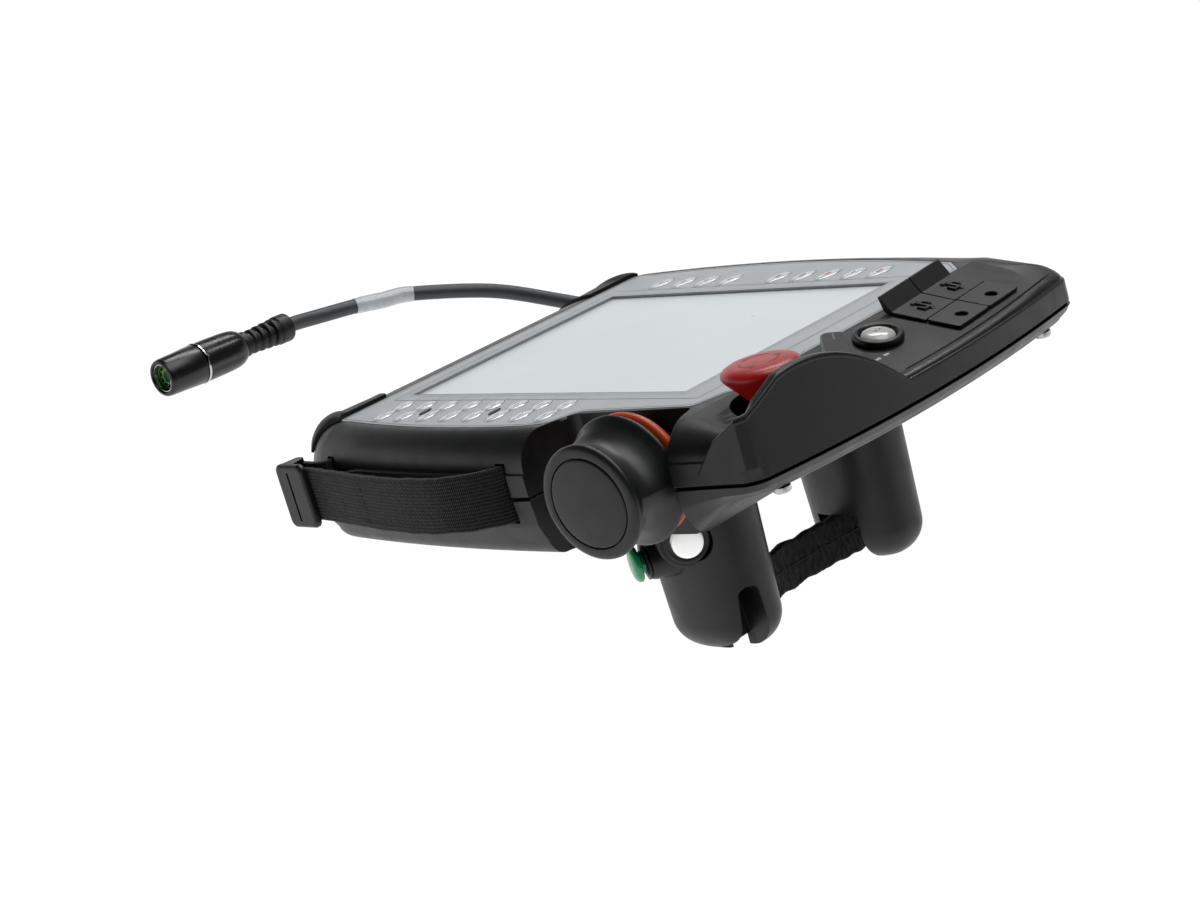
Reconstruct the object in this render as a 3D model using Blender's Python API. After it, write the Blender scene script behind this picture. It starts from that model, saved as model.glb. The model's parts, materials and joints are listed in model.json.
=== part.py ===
"""Pendant control station: a hand-held teach pendant for an industrial robot.

Units are millimetres in the functions below and metres in the scene.
Pendant frame: X to the right of the screen, Y to its top edge, Z out of the screen.
The root empty tips that frame back, so that the pendant lies on its two grip domes
and on the lower edge of its rear shell, with the world floor at Z = 0.
"""

import math

import bmesh
import bpy
from mathutils import Matrix, Vector

# ---------------------------------------------------------------- driving dimensions, mm
SCREEN = (127.8, 170.4)          # visible window, 4:3, upright
GAP = 0.3                        # clearance between pieces that touch
WALL = 3.0                       # wall of the moulded shells
CEILING = 5.2                    # front shell over its hollow, under the foil and glass
HALF_WIDTH = 115.0               # housing, from the middle to the bulge of its side
TOP_EDGE = 158.7                 # crown of the top edge
TOP_ROUND = 3.7                  # from the crown back to the edge of the front face
CONSOLE_LONG = 46.7              # from the crown down to where the console starts
SLOPE_START = TOP_EDGE - CONSOLE_LONG
SLOPE = 0.25                     # drop per mm of the console
CONSOLE_TILT = math.atan(SLOPE)

BOTTOM_EDGE = -133.0
BOTTOM_CORNER = 30.0
REAR_DEEP = -52.0                # rear face behind the screen
REAR_SHALLOW = -30.0             # rear face at the top edge
SIDE_STEPS = 7                   # stretches of the outline along a side
CROWN_STEPS = 5                  # stretches along half of the top edge
SPLIT_GAP = 0.6                  # half of the joint line between the shells

CREST_START = -11.0              # protective wall round the emergency stop: height where it starts
CREST_CLIMB = 58.0               # climb over its whole length
CREST_TOP = 13.9
CREST_TOP_AT = 0.51              # place of the top along its length
CREST_FALL = 116.0

FOIL_THICK = 0.8
GLASS_TOP = -1.2
GLASS_THICK = 1.6
GLASS_MARGIN = 4.2               # glass beyond the visible window
DISPLAY_THICK = 6.0
BOARD_TOP = -21.0
KEY_PITCH = 15.0
KEY_RISE = 0.55

ESTOP_AT = (65.5, SLOPE_START + 18.5)
SELECTOR_AT = (30.0, SLOPE_START + 22.0)
DISCONNECT_AT = (-3.2, SLOPE_START + 16.0)
PORTS_AT = (-47.8, SLOPE_START + 19.0)
PORTS_TURN = math.radians(5.0)
PORT_PITCH = 22.6
LID_HINGE = (1.5, 1.6)           # bending line of the port covers, in their own frame

MOUSE_CAP_AT = (HALF_WIDTH + 12.1, SLOPE_START - 26.1, -20.8)
MOUSE_AXIS = Vector((0.996, 0.090, 0.0)).normalized()
MOUSE_RIDGE = math.radians(118.0)  # place of one of the three ridges between the finger scoops

DOME_AT = (47.0, 55.0)
DOME_HALF = (16.8, 24.8)
DOME_BOTTOM = -116.3
DOME_FILLET = 14.0
DOME_TAPER = 0.087 / 60.0
POCKET_TOP = -92.5
POCKET_WALL = 6.0                # end of the dome strap's pocket, from the dome's middle
SWITCH_AT = (66.0, 64.5, -62.8)
SWITCH_AXIS = Vector((0.64, 0.765, -0.08)).normalized()
START_AT = (73.0, 42.5, -70.0)
START_AXIS = Vector((0.86, -0.51, 0.0)).normalized()

STRAP_SPAN = (-35.5, -11.5)      # webbing, across its width
STRAP_THICK = 2.0
STRAP_ENDS = (23.6, -93.2)       # where its two ends go into the side wall
STRAP_POCKET = 2.4
BUCKLE_BAR = (117.2, -107.5)     # bar round which the webbing turns, behind the plate
BUCKLE_BAR_R = 2.2
BUCKLE_PLATE = (122.1, 3.2)      # inner face of the plate and its thickness
BUCKLE_SPAN = (-114.5, -95.5)    # plate, from its lower end to its upper end
BUCKLE_MARGIN = 2.5              # plate beyond the edge of the webbing

CABLE_R = 3.75
PLUG_HEIGHT = 10.5
PLUG_LONG = 80.0
PLUG_FRONT = Vector((79.3, -241.3, PLUG_HEIGHT))
PLUG_AXIS = Vector((1.0, 0.011, 0.036)).normalized()
SLEEVE_AT = Vector((-57.1, -232.9, 4.6))

SLOPE_AXIS = (0.0, math.sin(CONSOLE_TILT), math.cos(CONSOLE_TILT))
FOOTPRINT_CENTRE = (1.6, 19.9)   # middle of the pendant as it lies, without its cable

GUARD_SEAT = 0.5                 # corner guard's inner skin over the shell
GUARD_EDGE = 0.5
GUARD_CROWN = 2.5

HEEL_Y = -115.0                  # centre of the rounding at the rear shell's lower edge
HEEL_R = 10.0

BLACK = (0.018, 0.018, 0.020, 1.0)
SOFT_BLACK = (0.010, 0.010, 0.011, 1.0)


# ---------------------------------------------------------------- small tools
def clear_scene():
    for item in list(bpy.data.objects):
        bpy.data.objects.remove(item, do_unlink=True)


def metres(point):
    return Vector(point) * 0.001


def make_material(name, colour, roughness, metallic=0.0):
    material = bpy.data.materials.new(name)
    material.use_nodes = True
    shader = material.node_tree.nodes["Principled BSDF"]
    shader.inputs["Base Color"].default_value = colour
    shader.inputs["Roughness"].default_value = roughness
    shader.inputs["Metallic"].default_value = metallic
    material.diffuse_color = colour
    return material


def make_empty(name, parent=None, at=(0, 0, 0), turn=None):
    empty = bpy.data.objects.new(name, None)
    bpy.context.collection.objects.link(empty)
    empty.parent = parent
    empty.location = metres(at)
    if turn is not None:
        empty.rotation_mode = "QUATERNION"
        empty.rotation_quaternion = turn
    return empty


def mesh_object(name, points, faces, parent, look=None):
    """A closed mesh from points in mm and faces, with its normals turned out."""
    mesh = bpy.data.meshes.new(name)
    builder = bmesh.new()
    verts = [builder.verts.new(metres(point)) for point in points]
    for face in faces:
        builder.faces.new([verts[i] for i in face])
    bmesh.ops.recalc_face_normals(builder, faces=builder.faces)
    builder.to_mesh(mesh)
    builder.free()
    mesh.shade_smooth()
    mesh.set_sharp_from_angle(angle=math.radians(35))
    item = bpy.data.objects.new(name, mesh)
    bpy.context.collection.objects.link(item)
    item.parent = parent
    if look is not None:
        colour, roughness, metallic = look
        mesh.materials.append(make_material(name, colour, roughness, metallic))
    return item


def loft(name, rings, parent, look=None, ladder=False, closed=False):
    """Skin a list of rings with equal numbers of points.

    ladder closes each end with strips across a symmetric ring, so the end may be curved.
    closed joins the last ring to the first, for a shape like a tyre.
    """
    count = len(rings[0])
    points = [point for ring in rings for point in ring]
    faces = []
    steps = len(rings) if closed else len(rings) - 1
    for i in range(steps):
        a = i * count
        b = ((i + 1) % len(rings)) * count
        for j in range(count):
            k = (j + 1) % count
            faces.append((a + j, a + k, b + k, b + j))
    if not closed:
        for base in (0, (len(rings) - 1) * count):
            if ladder:
                half = count // 2
                for j in range(half - 1):
                    mirror = count - 1 - j
                    faces.append((base + j, base + j + 1, base + mirror - 1, base + mirror))
                faces.append((base + half - 1, base + half, base + half + 1))
            else:
                faces.append(tuple(base + j for j in range(count)))
    return mesh_object(name, points, faces, parent, look)


def prism(name, outline, low, high, parent, look=None):
    """An outline in X, Y drawn out between two heights."""
    rings = [[(x, y, z) for x, y in outline] for z in (low, high)]
    return loft(name, rings, parent, look)


def lathe(name, profile, parent, look=None, segments=18, closed=False):
    """Turn a profile of (radius, height) round Z. closed makes a ring with a bore."""
    rings = []
    for radius, height in profile:
        ring = []
        for i in range(segments):
            angle = 2 * math.pi * i / segments
            ring.append((radius * math.cos(angle), radius * math.sin(angle), height))
        rings.append(ring)
    return loft(name, rings, parent, look, closed=closed)


def box(name, low, high, parent, look=None):
    outline = [(low[0], low[1]), (high[0], low[1]), (high[0], high[1]), (low[0], high[1])]
    return prism(name, outline, low[2], high[2], parent, look)


def put(item, at, axis=(0, 0, 1), roll=0.0):
    """Place an item with its own Z along an axis."""
    turn = Vector(axis).to_track_quat("Z", "Y")
    item.location = metres(at)
    item.rotation_mode = "QUATERNION"
    item.rotation_quaternion = turn @ Matrix.Rotation(roll, 3, "Z").to_quaternion()
    return item


def boolean(item, tool, operation):
    tool.hide_render = True
    tool.display_type = "WIRE"
    step = item.modifiers.new(operation.title() + "_" + tool.name, "BOOLEAN")
    step.operation = operation
    step.object = tool
    step.solver = "EXACT"


def cut(item, *tools):
    for tool in tools:
        boolean(item, tool, "DIFFERENCE")


def join(item, *tools):
    for tool in tools:
        boolean(item, tool, "UNION")


def conic(start, control, end, steps):
    """Corner from start to end, a circle's arc where the two legs are square and equal."""
    points = []
    for i in range(steps + 1):
        t = i / steps
        w = math.sqrt(0.5) * 2 * t * (1 - t)
        total = (1 - t) ** 2 + w + t * t
        points.append(
            tuple(
                ((1 - t) ** 2 * a + w * b + t * t * c) / total
                for a, b, c in zip(start, control, end)
            )
        )
    return points


def rounded(corners, radius, steps=3):
    """A closed outline with each corner (x, y) or (x, y, own radius) rounded off."""
    outline = []
    count = len(corners)
    for i, corner in enumerate(corners):
        here = Vector(corner[:2])
        before = Vector(corners[i - 1][:2])
        after = Vector(corners[(i + 1) % count][:2])
        size = corner[2] if len(corner) > 2 else radius
        if size <= 0:
            outline.append(tuple(here))
            continue
        back = (before - here).normalized()
        on = (after - here).normalized()
        reach = size / math.tan(back.angle(on) / 2)
        outline += conic(here + back * reach, here, here + on * reach, steps)
    return outline


def oval(half_long, half_wide, count, power=2.0):
    """Points of a super-ellipse, long axis on X."""
    points = []
    for i in range(count):
        angle = 2 * math.pi * i / count
        c, s = math.cos(angle), math.sin(angle)
        points.append(
            (
                half_long * math.copysign(abs(c) ** (2 / power), c),
                half_wide * math.copysign(abs(s) ** (2 / power), s),
            )
        )
    return points


def smooth_path(points, steps):
    """Centripetal curve through the given points, with steps points per stretch."""
    points = [Vector(point) for point in points]
    ends = [points[0] * 2 - points[1]] + points + [points[-1] * 2 - points[-2]]
    curve = []
    for i in range(1, len(ends) - 2):
        p0, p1, p2, p3 = ends[i - 1 : i + 3]
        for k in range(steps):
            t = k / steps
            curve.append(
                0.5
                * (
                    2 * p1
                    + (p2 - p0) * t
                    + (2 * p0 - 5 * p1 + 4 * p2 - p3) * t * t
                    + (3 * p1 - p0 - 3 * p2 + p3) * t**3
                )
            )
    return curve + [points[-1]]


def band(name, path, thickness, span, parent, look):
    """Webbing: a path in X, Y with a thickness, drawn out between two heights."""
    left, right = [], []
    for i, point in enumerate(path):
        ahead = path[min(i + 1, len(path) - 1)] - path[max(i - 1, 0)]
        normal = Vector((-ahead.y, ahead.x)).normalized() * thickness / 2
        left.append((point.x + normal.x, point.y + normal.y))
        right.append((point.x - normal.x, point.y - normal.y))
    points, faces = [], []
    for a, b in zip(left, right):
        points += [(*a, span[0]), (*b, span[0]), (*b, span[1]), (*a, span[1])]
    for i in range(len(path) - 1):
        for j in range(4):
            k = (j + 1) % 4
            faces.append((4 * i + j, 4 * i + k, 4 * i + 4 + k, 4 * i + 4 + j))
    faces += [(0, 1, 2, 3), tuple(len(points) - 4 + j for j in range(4))]
    return mesh_object(name, points, faces, parent, look)


# ---------------------------------------------------------------- outline of the housing
def top_height(y):
    """Height of the front face: flat over the screen, then the sloped console."""
    return -SLOPE * max(0.0, y - SLOPE_START)


def eased(t):
    t = min(1.0, max(0.0, t))
    return t * t * (3 - 2 * t)


def ledge_height(y):
    """Lower end of the rounding from the front face to the side wall."""
    lower_end = 12.0 * eased((-70.0 - y) / 55.0)
    return -15.0 - lower_end + 2.5 * eased((y - 40.0) / 70.0)


def split_height(y):
    """Joint line between the two shells."""
    return -22.5 - 7.5 * eased((135.0 - y) / 240.0)


def rear_height(y):
    """Rear face: deep behind the screen, shallow behind the console."""
    return REAR_DEEP + (REAR_SHALLOW - REAR_DEEP) * eased((y - SLOPE_START + 24.0) / 52.0)


def face_side(y):
    return max(HALF_WIDTH - 12.0 - (y + 15.0) ** 2 / 900.0, HALF_WIDTH - 27.0)


def wall_side(y):
    return HALF_WIDTH - (y + 10.0) ** 2 / 1700.0


def face_top(x):
    return TOP_EDGE - TOP_ROUND - x * x / 1050.0


def wall_top(x):
    return TOP_EDGE - x * x / 980.0


def symmetric_outline(side, top, bottom, lower_r, upper_r, inset=0.0):
    """Half outline from the lower right corner up to the crown, then its mirror image."""
    low = bottom + inset
    corner_y = TOP_EDGE - 10.0
    for _ in range(12):
        corner_y = top(side(corner_y) - inset) - inset
    corner_x = side(corner_y) - inset
    start = low + lower_r
    wall_low = side(start) - inset
    wall_high = side(corner_y - upper_r) - inset
    crown = corner_x - upper_r
    half = [
        point[:2]
        for point in conic(
            (side(low) - inset - lower_r, low, 0), (side(low) - inset, low, 0), (wall_low, start, 0), 4
        )
    ]
    for i in range(1, SIDE_STEPS + 1):
        y = start + (SLOPE_START - start) * i / SIDE_STEPS
        half.append((side(y) - inset, y))
    end = corner_y - upper_r
    if end > SLOPE_START + 6:
        middle = (SLOPE_START + end) / 2
    else:
        end = SLOPE_START + 6
        middle = SLOPE_START + 3
        wall_high = side(end) - inset
    half.append((side(middle) - inset, middle))
    half += [
        point[:2]
        for point in conic(
            (wall_high, end, 0), (corner_x, corner_y, 0), (crown, top(crown) - inset, 0), 4
        )
    ]
    for i in range(1, CROWN_STEPS):
        x = crown * (1 - i / CROWN_STEPS)
        half.append((x, top(x) - inset))
    mirror = [(-x, y) for x, y in reversed(half)]
    return half + [(0.0, top(0.0) - inset)] + mirror


FACE_OUTLINE = symmetric_outline(face_side, face_top, -100.0, 6.0, 22.0)
WALL_OUTLINE = symmetric_outline(wall_side, wall_top, BOTTOM_EDGE, BOTTOM_CORNER, 7.0)


def outline_point(outline, place):
    """A point on an outline; a place between two whole numbers lies between those corners."""
    before = math.floor(place)
    share = place - before
    (xa, ya), (xb, yb) = outline[before], outline[before + 1]
    return xa + (xb - xa) * share, ya + (yb - ya) * share


def front_point(place, turn):
    """A point on the rounding: turn 0 at the edge of the front face, 90 degrees at the wall."""
    x0, y0 = outline_point(FACE_OUTLINE, place)
    x1, y1 = outline_point(WALL_OUTLINE, place)
    z0, z1 = top_height(y0), ledge_height(y1)
    out, drop = math.sin(turn), math.cos(turn)
    return Vector((x0 + (x1 - x0) * out, y0 + (y1 - y0) * out, z1 + (z0 - z1) * drop))


def front_ring(turn):
    return [front_point(i, turn) for i in range(-1, len(FACE_OUTLINE) - 1)]


def wall_ring(height, inset=0.0, bottom=0.0, lower_r=BOTTOM_CORNER, upper_r=7.0, top_drop=0.0):
    outline = symmetric_outline(
        wall_side, lambda x: wall_top(x) - top_drop, BOTTOM_EDGE + bottom, lower_r, upper_r, inset
    )
    return [(x, y, height(y)) for x, y in outline]


# ---------------------------------------------------------------- housing
def make_cavity(root, notch_wall):
    """The hollow inside both shells, clear of the cradle for the 6D mouse."""
    rings = [
        wall_ring(lambda y: rear_height(y) + WALL, 12.0, 8.0, 16.0, 4.0),
        wall_ring(lambda y: rear_height(y) * 0.62 + split_height(y) * 0.38, WALL + 1.0, 1.5),
        wall_ring(split_height, WALL),
        wall_ring(lambda y: min(ledge_height(y) - 1.0, top_height(y) - CEILING - 2.0), WALL, 1.5),
    ]
    middle = []
    ceiling = []
    for (fx, fy), (wx, wy) in zip(FACE_OUTLINE, WALL_OUTLINE):
        shrink_y = min(1.0, max(-1.0, fy / 100.0)) * 3.0
        shrink_x = math.copysign(3.0, fx) if fx else 0.0
        ceiling_z = top_height(fy) - CEILING
        middle_z = min((ledge_height(wy) + top_height(fy)) / 2 - 3.4, ceiling_z - 1.0)
        middle.append(((fx + 1.6 * wx) / 2.6 - shrink_x, (fy + 1.6 * wy) / 2.6 - shrink_y, middle_z))
        ceiling.append((fx - shrink_x, fy - shrink_y, ceiling_z))
    rings += [middle, ceiling]
    cavity = loft("cavity_cutter", rings, root, ladder=True)
    cut(cavity, notch_wall)
    return cavity


def notch_outline(grow):
    """Open cradle in the right-hand side, in which the 6D mouse stands."""
    corners = [
        (150.0, 34.0 - grow, 0),
        (104.0, 37.0 - grow, 14),
        (87.2 - grow, 44.0 - grow, 7),
        (80.8 - grow, SLOPE_START - 7.0 + grow, 3),
        (103.0, SLOPE_START - 0.2 + grow, 3),
        (150.0, SLOPE_START + 1.5 + grow, 0),
    ]
    return rounded(corners, 0, 4)


def make_hump(root):
    """Protective wall that follows the outer outline round the top right corner."""
    stations = []
    count = 26
    for i in range(count + 1):
        t = i / count
        if t < 0.25:
            y = SLOPE_START + 13.0 + 22.0 * t / 0.25
            point, normal = Vector((wall_side(y), y)), Vector((1.0, 0.09))
        else:
            x = 97.5 + (17.0 - 97.5) * (t - 0.25) / 0.75
            point, normal = Vector((x, wall_top(x))), Vector((x / 490.0, 1.0))
            normal = normal.lerp(Vector((0.8, 0.6)), max(0.0, 1 - (t - 0.25) / 0.06))
        stations.append((point - normal.normalized() * 0.02, normal.normalized(), crest_height(t)))
    points, faces = [], []
    for point, normal, crest in stations:
        inner = point - normal * 3.4
        lip = point - normal * 1.0
        lip_in = point - normal * 2.4
        points += [
            (*point, -17.0),
            (*point, crest - 1.0),
            (*lip, crest),
            (*lip_in, crest),
            (*inner, crest - 1.2),
            (*inner, -17.0),
        ]
    for i in range(len(stations) - 1):
        for j in range(6):
            k = (j + 1) % 6
            faces.append((6 * i + j, 6 * i + k, 6 * i + 6 + k, 6 * i + 6 + j))
    faces += [tuple(range(6)), tuple(range(len(points) - 6, len(points)))]
    return mesh_object("hump_joined", points, faces, root)


def crest_height(t):
    """Crest of the hump along its length: a steady climb, then a long rounded fall."""
    return min(CREST_START + CREST_CLIMB * t, CREST_TOP - CREST_FALL * (t - CREST_TOP_AT) ** 2)


def make_front_shell(root, cavity, notch, slots):
    look = (BLACK, 0.42, 0.0)
    rings = [front_ring(math.radians(angle)) for angle in (0, 22, 45, 68, 90)]
    rings.append(wall_ring(lambda y: ledge_height(y) - 0.5, -0.8))
    rings.append(wall_ring(lambda y: split_height(y) + SPLIT_GAP, -0.8))
    shell = loft("front_shell", rings, root, look, ladder=True)
    hump = make_hump(root)
    join(shell, hump)
    half_w, half_h = SCREEN[0] / 2, SCREEN[1] / 2
    foil_seat = prism("foil_seat_cutter", foil_outline(GAP), -FOIL_THICK - GAP, 4.0, root)
    glass_seat = box(
        "glass_seat_cutter",
        (-half_w - GLASS_MARGIN - GAP, -half_h - GLASS_MARGIN - GAP, GLASS_TOP - GLASS_THICK - GAP),
        (half_w + GLASS_MARGIN + GAP, half_h + GLASS_MARGIN + GAP, 3.0),
        root,
    )
    window = box("window_cutter", (-half_w + 1, -half_h + 1, -9.0), (half_w - 1, half_h - 1, 1.0), root)
    cup = lathe("estop_cup_joined", [(17.5, -14.5), (17.5, -8.0)], root, segments=30)
    put(cup, (*ESTOP_AT, 0.0))
    recess = lathe("estop_recess_cutter", [(15.0, -11.5), (15.0, 6.0)], root, segments=30)
    put(recess, (*ESTOP_AT, 0.0))
    bore = lathe("estop_bore_cutter", [(11.0, -25.0), (11.0, 1.0)], root, segments=24)
    put(bore, (*ESTOP_AT, 0.0))
    selector = lathe("selector_cutter", [(10.0, -14.0), (10.0, 8.0)], root)
    put(selector, console_point(*SELECTOR_AT), SLOPE_AXIS)
    disconnect = lathe("disconnect_cutter", [(8.2, -14.0), (8.2, 8.0)], root)
    put(disconnect, console_point(*DISCONNECT_AT), SLOPE_AXIS)
    cut(shell, cavity)
    join(shell, cup)
    cut(shell, notch, foil_seat, glass_seat, window, recess, bore, selector, disconnect)
    for x in (-PORT_PITCH / 2, PORT_PITCH / 2):
        pocket = box("port_pocket_cutter", (x - 8.0, -12.5, -9.0), (x + 8.0, -2.5, 3.0), root)
        put_on_ports(pocket)
        cut(shell, pocket)
    cut(shell, *slots)
    return shell


def make_rear_shell(root, cavity, notch, slots):
    look = (BLACK, 0.45, 0.0)

    def level(part):
        return lambda y: split_height(y) - SPLIT_GAP + part * (rear_height(y) - split_height(y) + SPLIT_GAP)

    rings = [wall_ring(level(0.0), -0.8), wall_ring(level(0.45), 0.0, 2.0, 28.0, 7.0, 1.5)]
    depth = split_height(BOTTOM_EDGE) - SPLIT_GAP - REAR_DEEP
    for angle, top_drop in ((68, 1.0), (44, 0.4), (22, -0.8), (0, -2.5)):
        turn = math.radians(angle)
        inset = HEEL_R * (0.95 - 0.75 * math.sin(turn))
        low = HEEL_Y - HEEL_R * math.sin(turn) - BOTTOM_EDGE - inset
        part = 1.0 - HEEL_R * (1 - math.cos(turn)) / depth
        rings.append(wall_ring(level(part), inset, low, 26.0 - 9.0 * math.cos(turn), 7.0, top_drop))
    shell = loft("rear_shell", rings, root, look, ladder=True)
    cut(shell, cavity, notch)
    cut(shell, *slots)
    return shell


def make_gasket(root, notch_wall, slots):
    look = ((0.006, 0.006, 0.006, 1.0), 0.8, 0.0)
    outer = wall_ring(lambda y: split_height(y) - 0.3, 0.3)
    outer_top = wall_ring(lambda y: split_height(y) + 0.3, 0.3)
    inner_top = wall_ring(lambda y: split_height(y) + 0.3, 4.6)
    inner = wall_ring(lambda y: split_height(y) - 0.3, 4.6)
    gasket = loft("shell_gasket", [outer, outer_top, inner_top, inner], root, look, closed=True)
    cut(gasket, notch_wall, *slots)
    return gasket


def foil_outline(grow=0.0):
    """Outline of the light grey foil: bowed sides, square lower corners, notched at the cradle."""
    half = []
    for i in range(9):
        y = -94.0 + (SLOPE_START + 82.0) * i / 8
        half.append((face_side(y) - 0.6 + grow, y))
    left = [(-x, y) for x, y in half]
    right = [(x, y) for x, y in half if y < 36.0]
    corners = [(right[0][0] + 0.3, -100.0 - grow, 4.0)]
    corners += [(x, y, 0) for x, y in right[1:]]
    corners += [
        (97.2 + grow, 39.0, 5.0),
        (85.0 + grow, 45.5, 5.0),
        (79.6 + grow, SLOPE_START - 8.5 + grow, 3.0),
        (66.0 + grow, SLOPE_START - 3.5, 2.0),
        (63.0 + grow, SLOPE_START + grow, 2.0),
        (-78.0 - grow, SLOPE_START + grow, 3.0),
        (left[-1][0], SLOPE_START - 11.0, 3.0),
    ]
    corners += [(x, y, 0) for x, y in reversed(left[1:-1])]
    corners.append((left[0][0] - 0.3, -100.0 - grow, 4.0))
    return rounded(corners, 0, 3)


def key_places():
    places = []
    for i in range(8):
        for x in (78.0, 90.0):
            places.append((x, -75.0 + KEY_PITCH * i, math.radians(8), 5.6, 3.1))
    for y in (-67.5, -52.5, -37.5, -22.5, 7.5, 22.5, 37.5, 52.5, 67.5):
        places.append((-79.5, y, math.radians(-8), 6.6, 3.2))
    for y in (-52.0, -6.7):
        places.append((84.8, y, math.radians(8), 3.8, 1.3))
    return places


def make_foil(root):
    """Foil with its window and the embossed keys as low bumps."""
    look = ((0.42, 0.44, 0.46, 1.0), 0.45, 0.0)
    foil = prism("keypad_membrane", foil_outline(), -FOIL_THICK, 0.0, root, look)
    half_w, half_h = SCREEN[0] / 2, SCREEN[1] / 2
    window = box("foil_window_cutter", (-half_w, -half_h, -5.0), (half_w, half_h, 5.0), root)
    cut(foil, window)
    points, faces = [], []
    count = 8
    for x, y, turn, long_half, wide_half in key_places():
        base = len(points)
        c, s = math.cos(turn), math.sin(turn)
        for scale, height in ((1.08, -0.4), (0.76, KEY_RISE)):
            for px, py in oval(long_half * scale, wide_half * scale, count):
                points.append((x + c * px - s * py, y + s * px + c * py, height))
        for j in range(count):
            k = (j + 1) % count
            faces.append((base + j, base + k, base + count + k, base + count + j))
        faces.append(tuple(base + j for j in range(count)))
        faces.append(tuple(base + count + j for j in range(count)))
    keys = mesh_object("keys_joined", points, faces, root)
    join(foil, keys)
    return foil


def make_screen(root):
    half_w, half_h = SCREEN[0] / 2 + GLASS_MARGIN, SCREEN[1] / 2 + GLASS_MARGIN
    low = GLASS_TOP - GLASS_THICK
    box("touch_panel", (-half_w, -half_h, low), (half_w, half_h, GLASS_TOP), root,
        ((0.55, 0.60, 0.62, 1.0), 0.12, 0.0))
    back = -CEILING - GAP
    box("display_module", (-half_w + 1, -half_h + 1, back - DISPLAY_THICK),
        (half_w - 1, half_h - 1, back), root, ((0.25, 0.26, 0.27, 1.0), 0.4, 0.6))
    make_board(root, back - DISPLAY_THICK - GAP)


def make_board(root, seat):
    """Main board on four posts that screw to the back of the display."""
    board = box("main_board", (-72.0, -95.0, BOARD_TOP - 1.6), (70.0, 70.0, BOARD_TOP), root,
                ((0.02, 0.13, 0.05, 1.0), 0.5, 0.0))
    sink = BOARD_TOP - 0.4
    chips = [(-40, -40, 30, 30, 2.5), (20, -50, 24, 18, 2.0), (-30, 30, 40, 12, 5.0), (40, 20, 18, 26, 3.0)]
    for i, (x, y, wide, long, tall) in enumerate(chips):
        join(board, box(f"chip_{i}_joined", (x, y, sink), (x + wide, y + long, BOARD_TOP + tall), root))
    for i, (x, y) in enumerate([(58, 60), (-58, 60), (-58, -78), (58, -78)]):
        post = lathe(f"board_post_{i}_joined", [(2.8, sink), (2.8, seat)], root, segments=10)
        post.location = metres((x, y, 0))
        join(board, post)


def make_corner_guard(root, name, side):
    """Rubber bumper on the lower edge, round most of the corner's rounding."""
    columns = [-0.13, -0.05, 0.0, 0.5, 1.0, 1.5, 2.0, 2.5]
    turns = [math.radians(a) for a in (4, 16, 28, 40, 50, 58)]
    skin, seat = [], []
    for row, turn in enumerate(turns):
        for place in columns:
            here = front_point(place, turn)
            along = front_point(place + 0.04, turn) - front_point(place - 0.04, turn)
            down = front_point(place, turn + 0.03) - front_point(place, turn - 0.03)
            normal = along.cross(down).normalized()
            if normal.z < 0:
                normal = -normal
            u = (place - columns[0]) / (columns[-1] - columns[0])
            v = row / (len(turns) - 1)
            crown = math.sin(math.pi * min(max(u, 0.06), 0.94)) ** 0.4
            crown *= math.sin(math.pi * min(max(v, 0.12), 0.94)) ** 0.4
            skin.append(here + normal * (GUARD_SEAT + GUARD_EDGE + GUARD_CROWN * crown))
            seat.append(here + normal * GUARD_SEAT)
    rows, cols = len(turns), len(columns)
    points = [(side * p.x, p.y, p.z) for p in skin + seat]
    shift = rows * cols
    faces = []
    for r in range(rows - 1):
        for c in range(cols - 1):
            a = r * cols + c
            faces.append((a, a + 1, a + cols + 1, a + cols))
            faces.append((a + shift, a + 1 + shift, a + cols + 1 + shift, a + cols + shift))
    border = list(range(cols))
    border += [r * cols + cols - 1 for r in range(1, rows)]
    border += [(rows - 1) * cols + c for c in range(cols - 2, -1, -1)]
    border += [r * cols for r in range(rows - 2, 0, -1)]
    for i, a in enumerate(border):
        b = border[(i + 1) % len(border)]
        faces.append((a, b, b + shift, a + shift))
    return mesh_object(name, points, faces, root, (SOFT_BLACK, 0.7, 0.0))


def make_screws(root):
    look = ((0.55, 0.55, 0.56, 1.0), 0.3, 1.0)
    high = SLOPE_START + 31.0
    places = [(83, high), (-83, high), (97, -20), (-97, -20), (78, -96), (-78, -96)]
    for i, (x, y) in enumerate(places, 1):
        z = rear_height(y) - GAP
        profile = [(3.5, 0.0), (3.5, -2.0), (2.9, -2.4), (1.6, -2.4), (1.6, -1.2)]
        screw = lathe(f"housing_screw_{i}", profile, root, look, segments=12)
        put(screw, (x, y, z))


# ---------------------------------------------------------------- console controls
def make_estop(root):
    block = lathe(
        "estop_contact_block",
        [(10.4, -26.0), (10.4, -11.7), (5.0, -11.7), (5.0, -22.0)], root, (SOFT_BLACK, 0.5, 0.0), 16,
    )
    put(block, (*ESTOP_AT, 0.0))
    stem = lathe("estop_stem", [(4.4, 3.0), (4.4, -17.0)], root, ((0.55, 0.55, 0.5, 1.0), 0.4, 0.0))
    put(stem, (*ESTOP_AT, 0.0))
    head = lathe(
        "estop_head",
        [
            (11.0, 12.9), (14.0, 12.6), (15.3, 11.6), (15.7, 10.2), (15.2, 8.6),
            (7.6, -0.6), (6.4, -2.6), (6.4, -4.6), (4.8, -4.6), (4.8, 3.4),
        ],
        root, ((0.45, 0.012, 0.012, 1.0), 0.3, 0.0), 24,
    )
    put(head, (*ESTOP_AT, 0.0))


def console_point(x, y, above=0.0):
    """A point above the sloped console, measured square to it."""
    return (x, y + above * math.sin(CONSOLE_TILT), top_height(y) + above * math.cos(CONSOLE_TILT))


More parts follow.
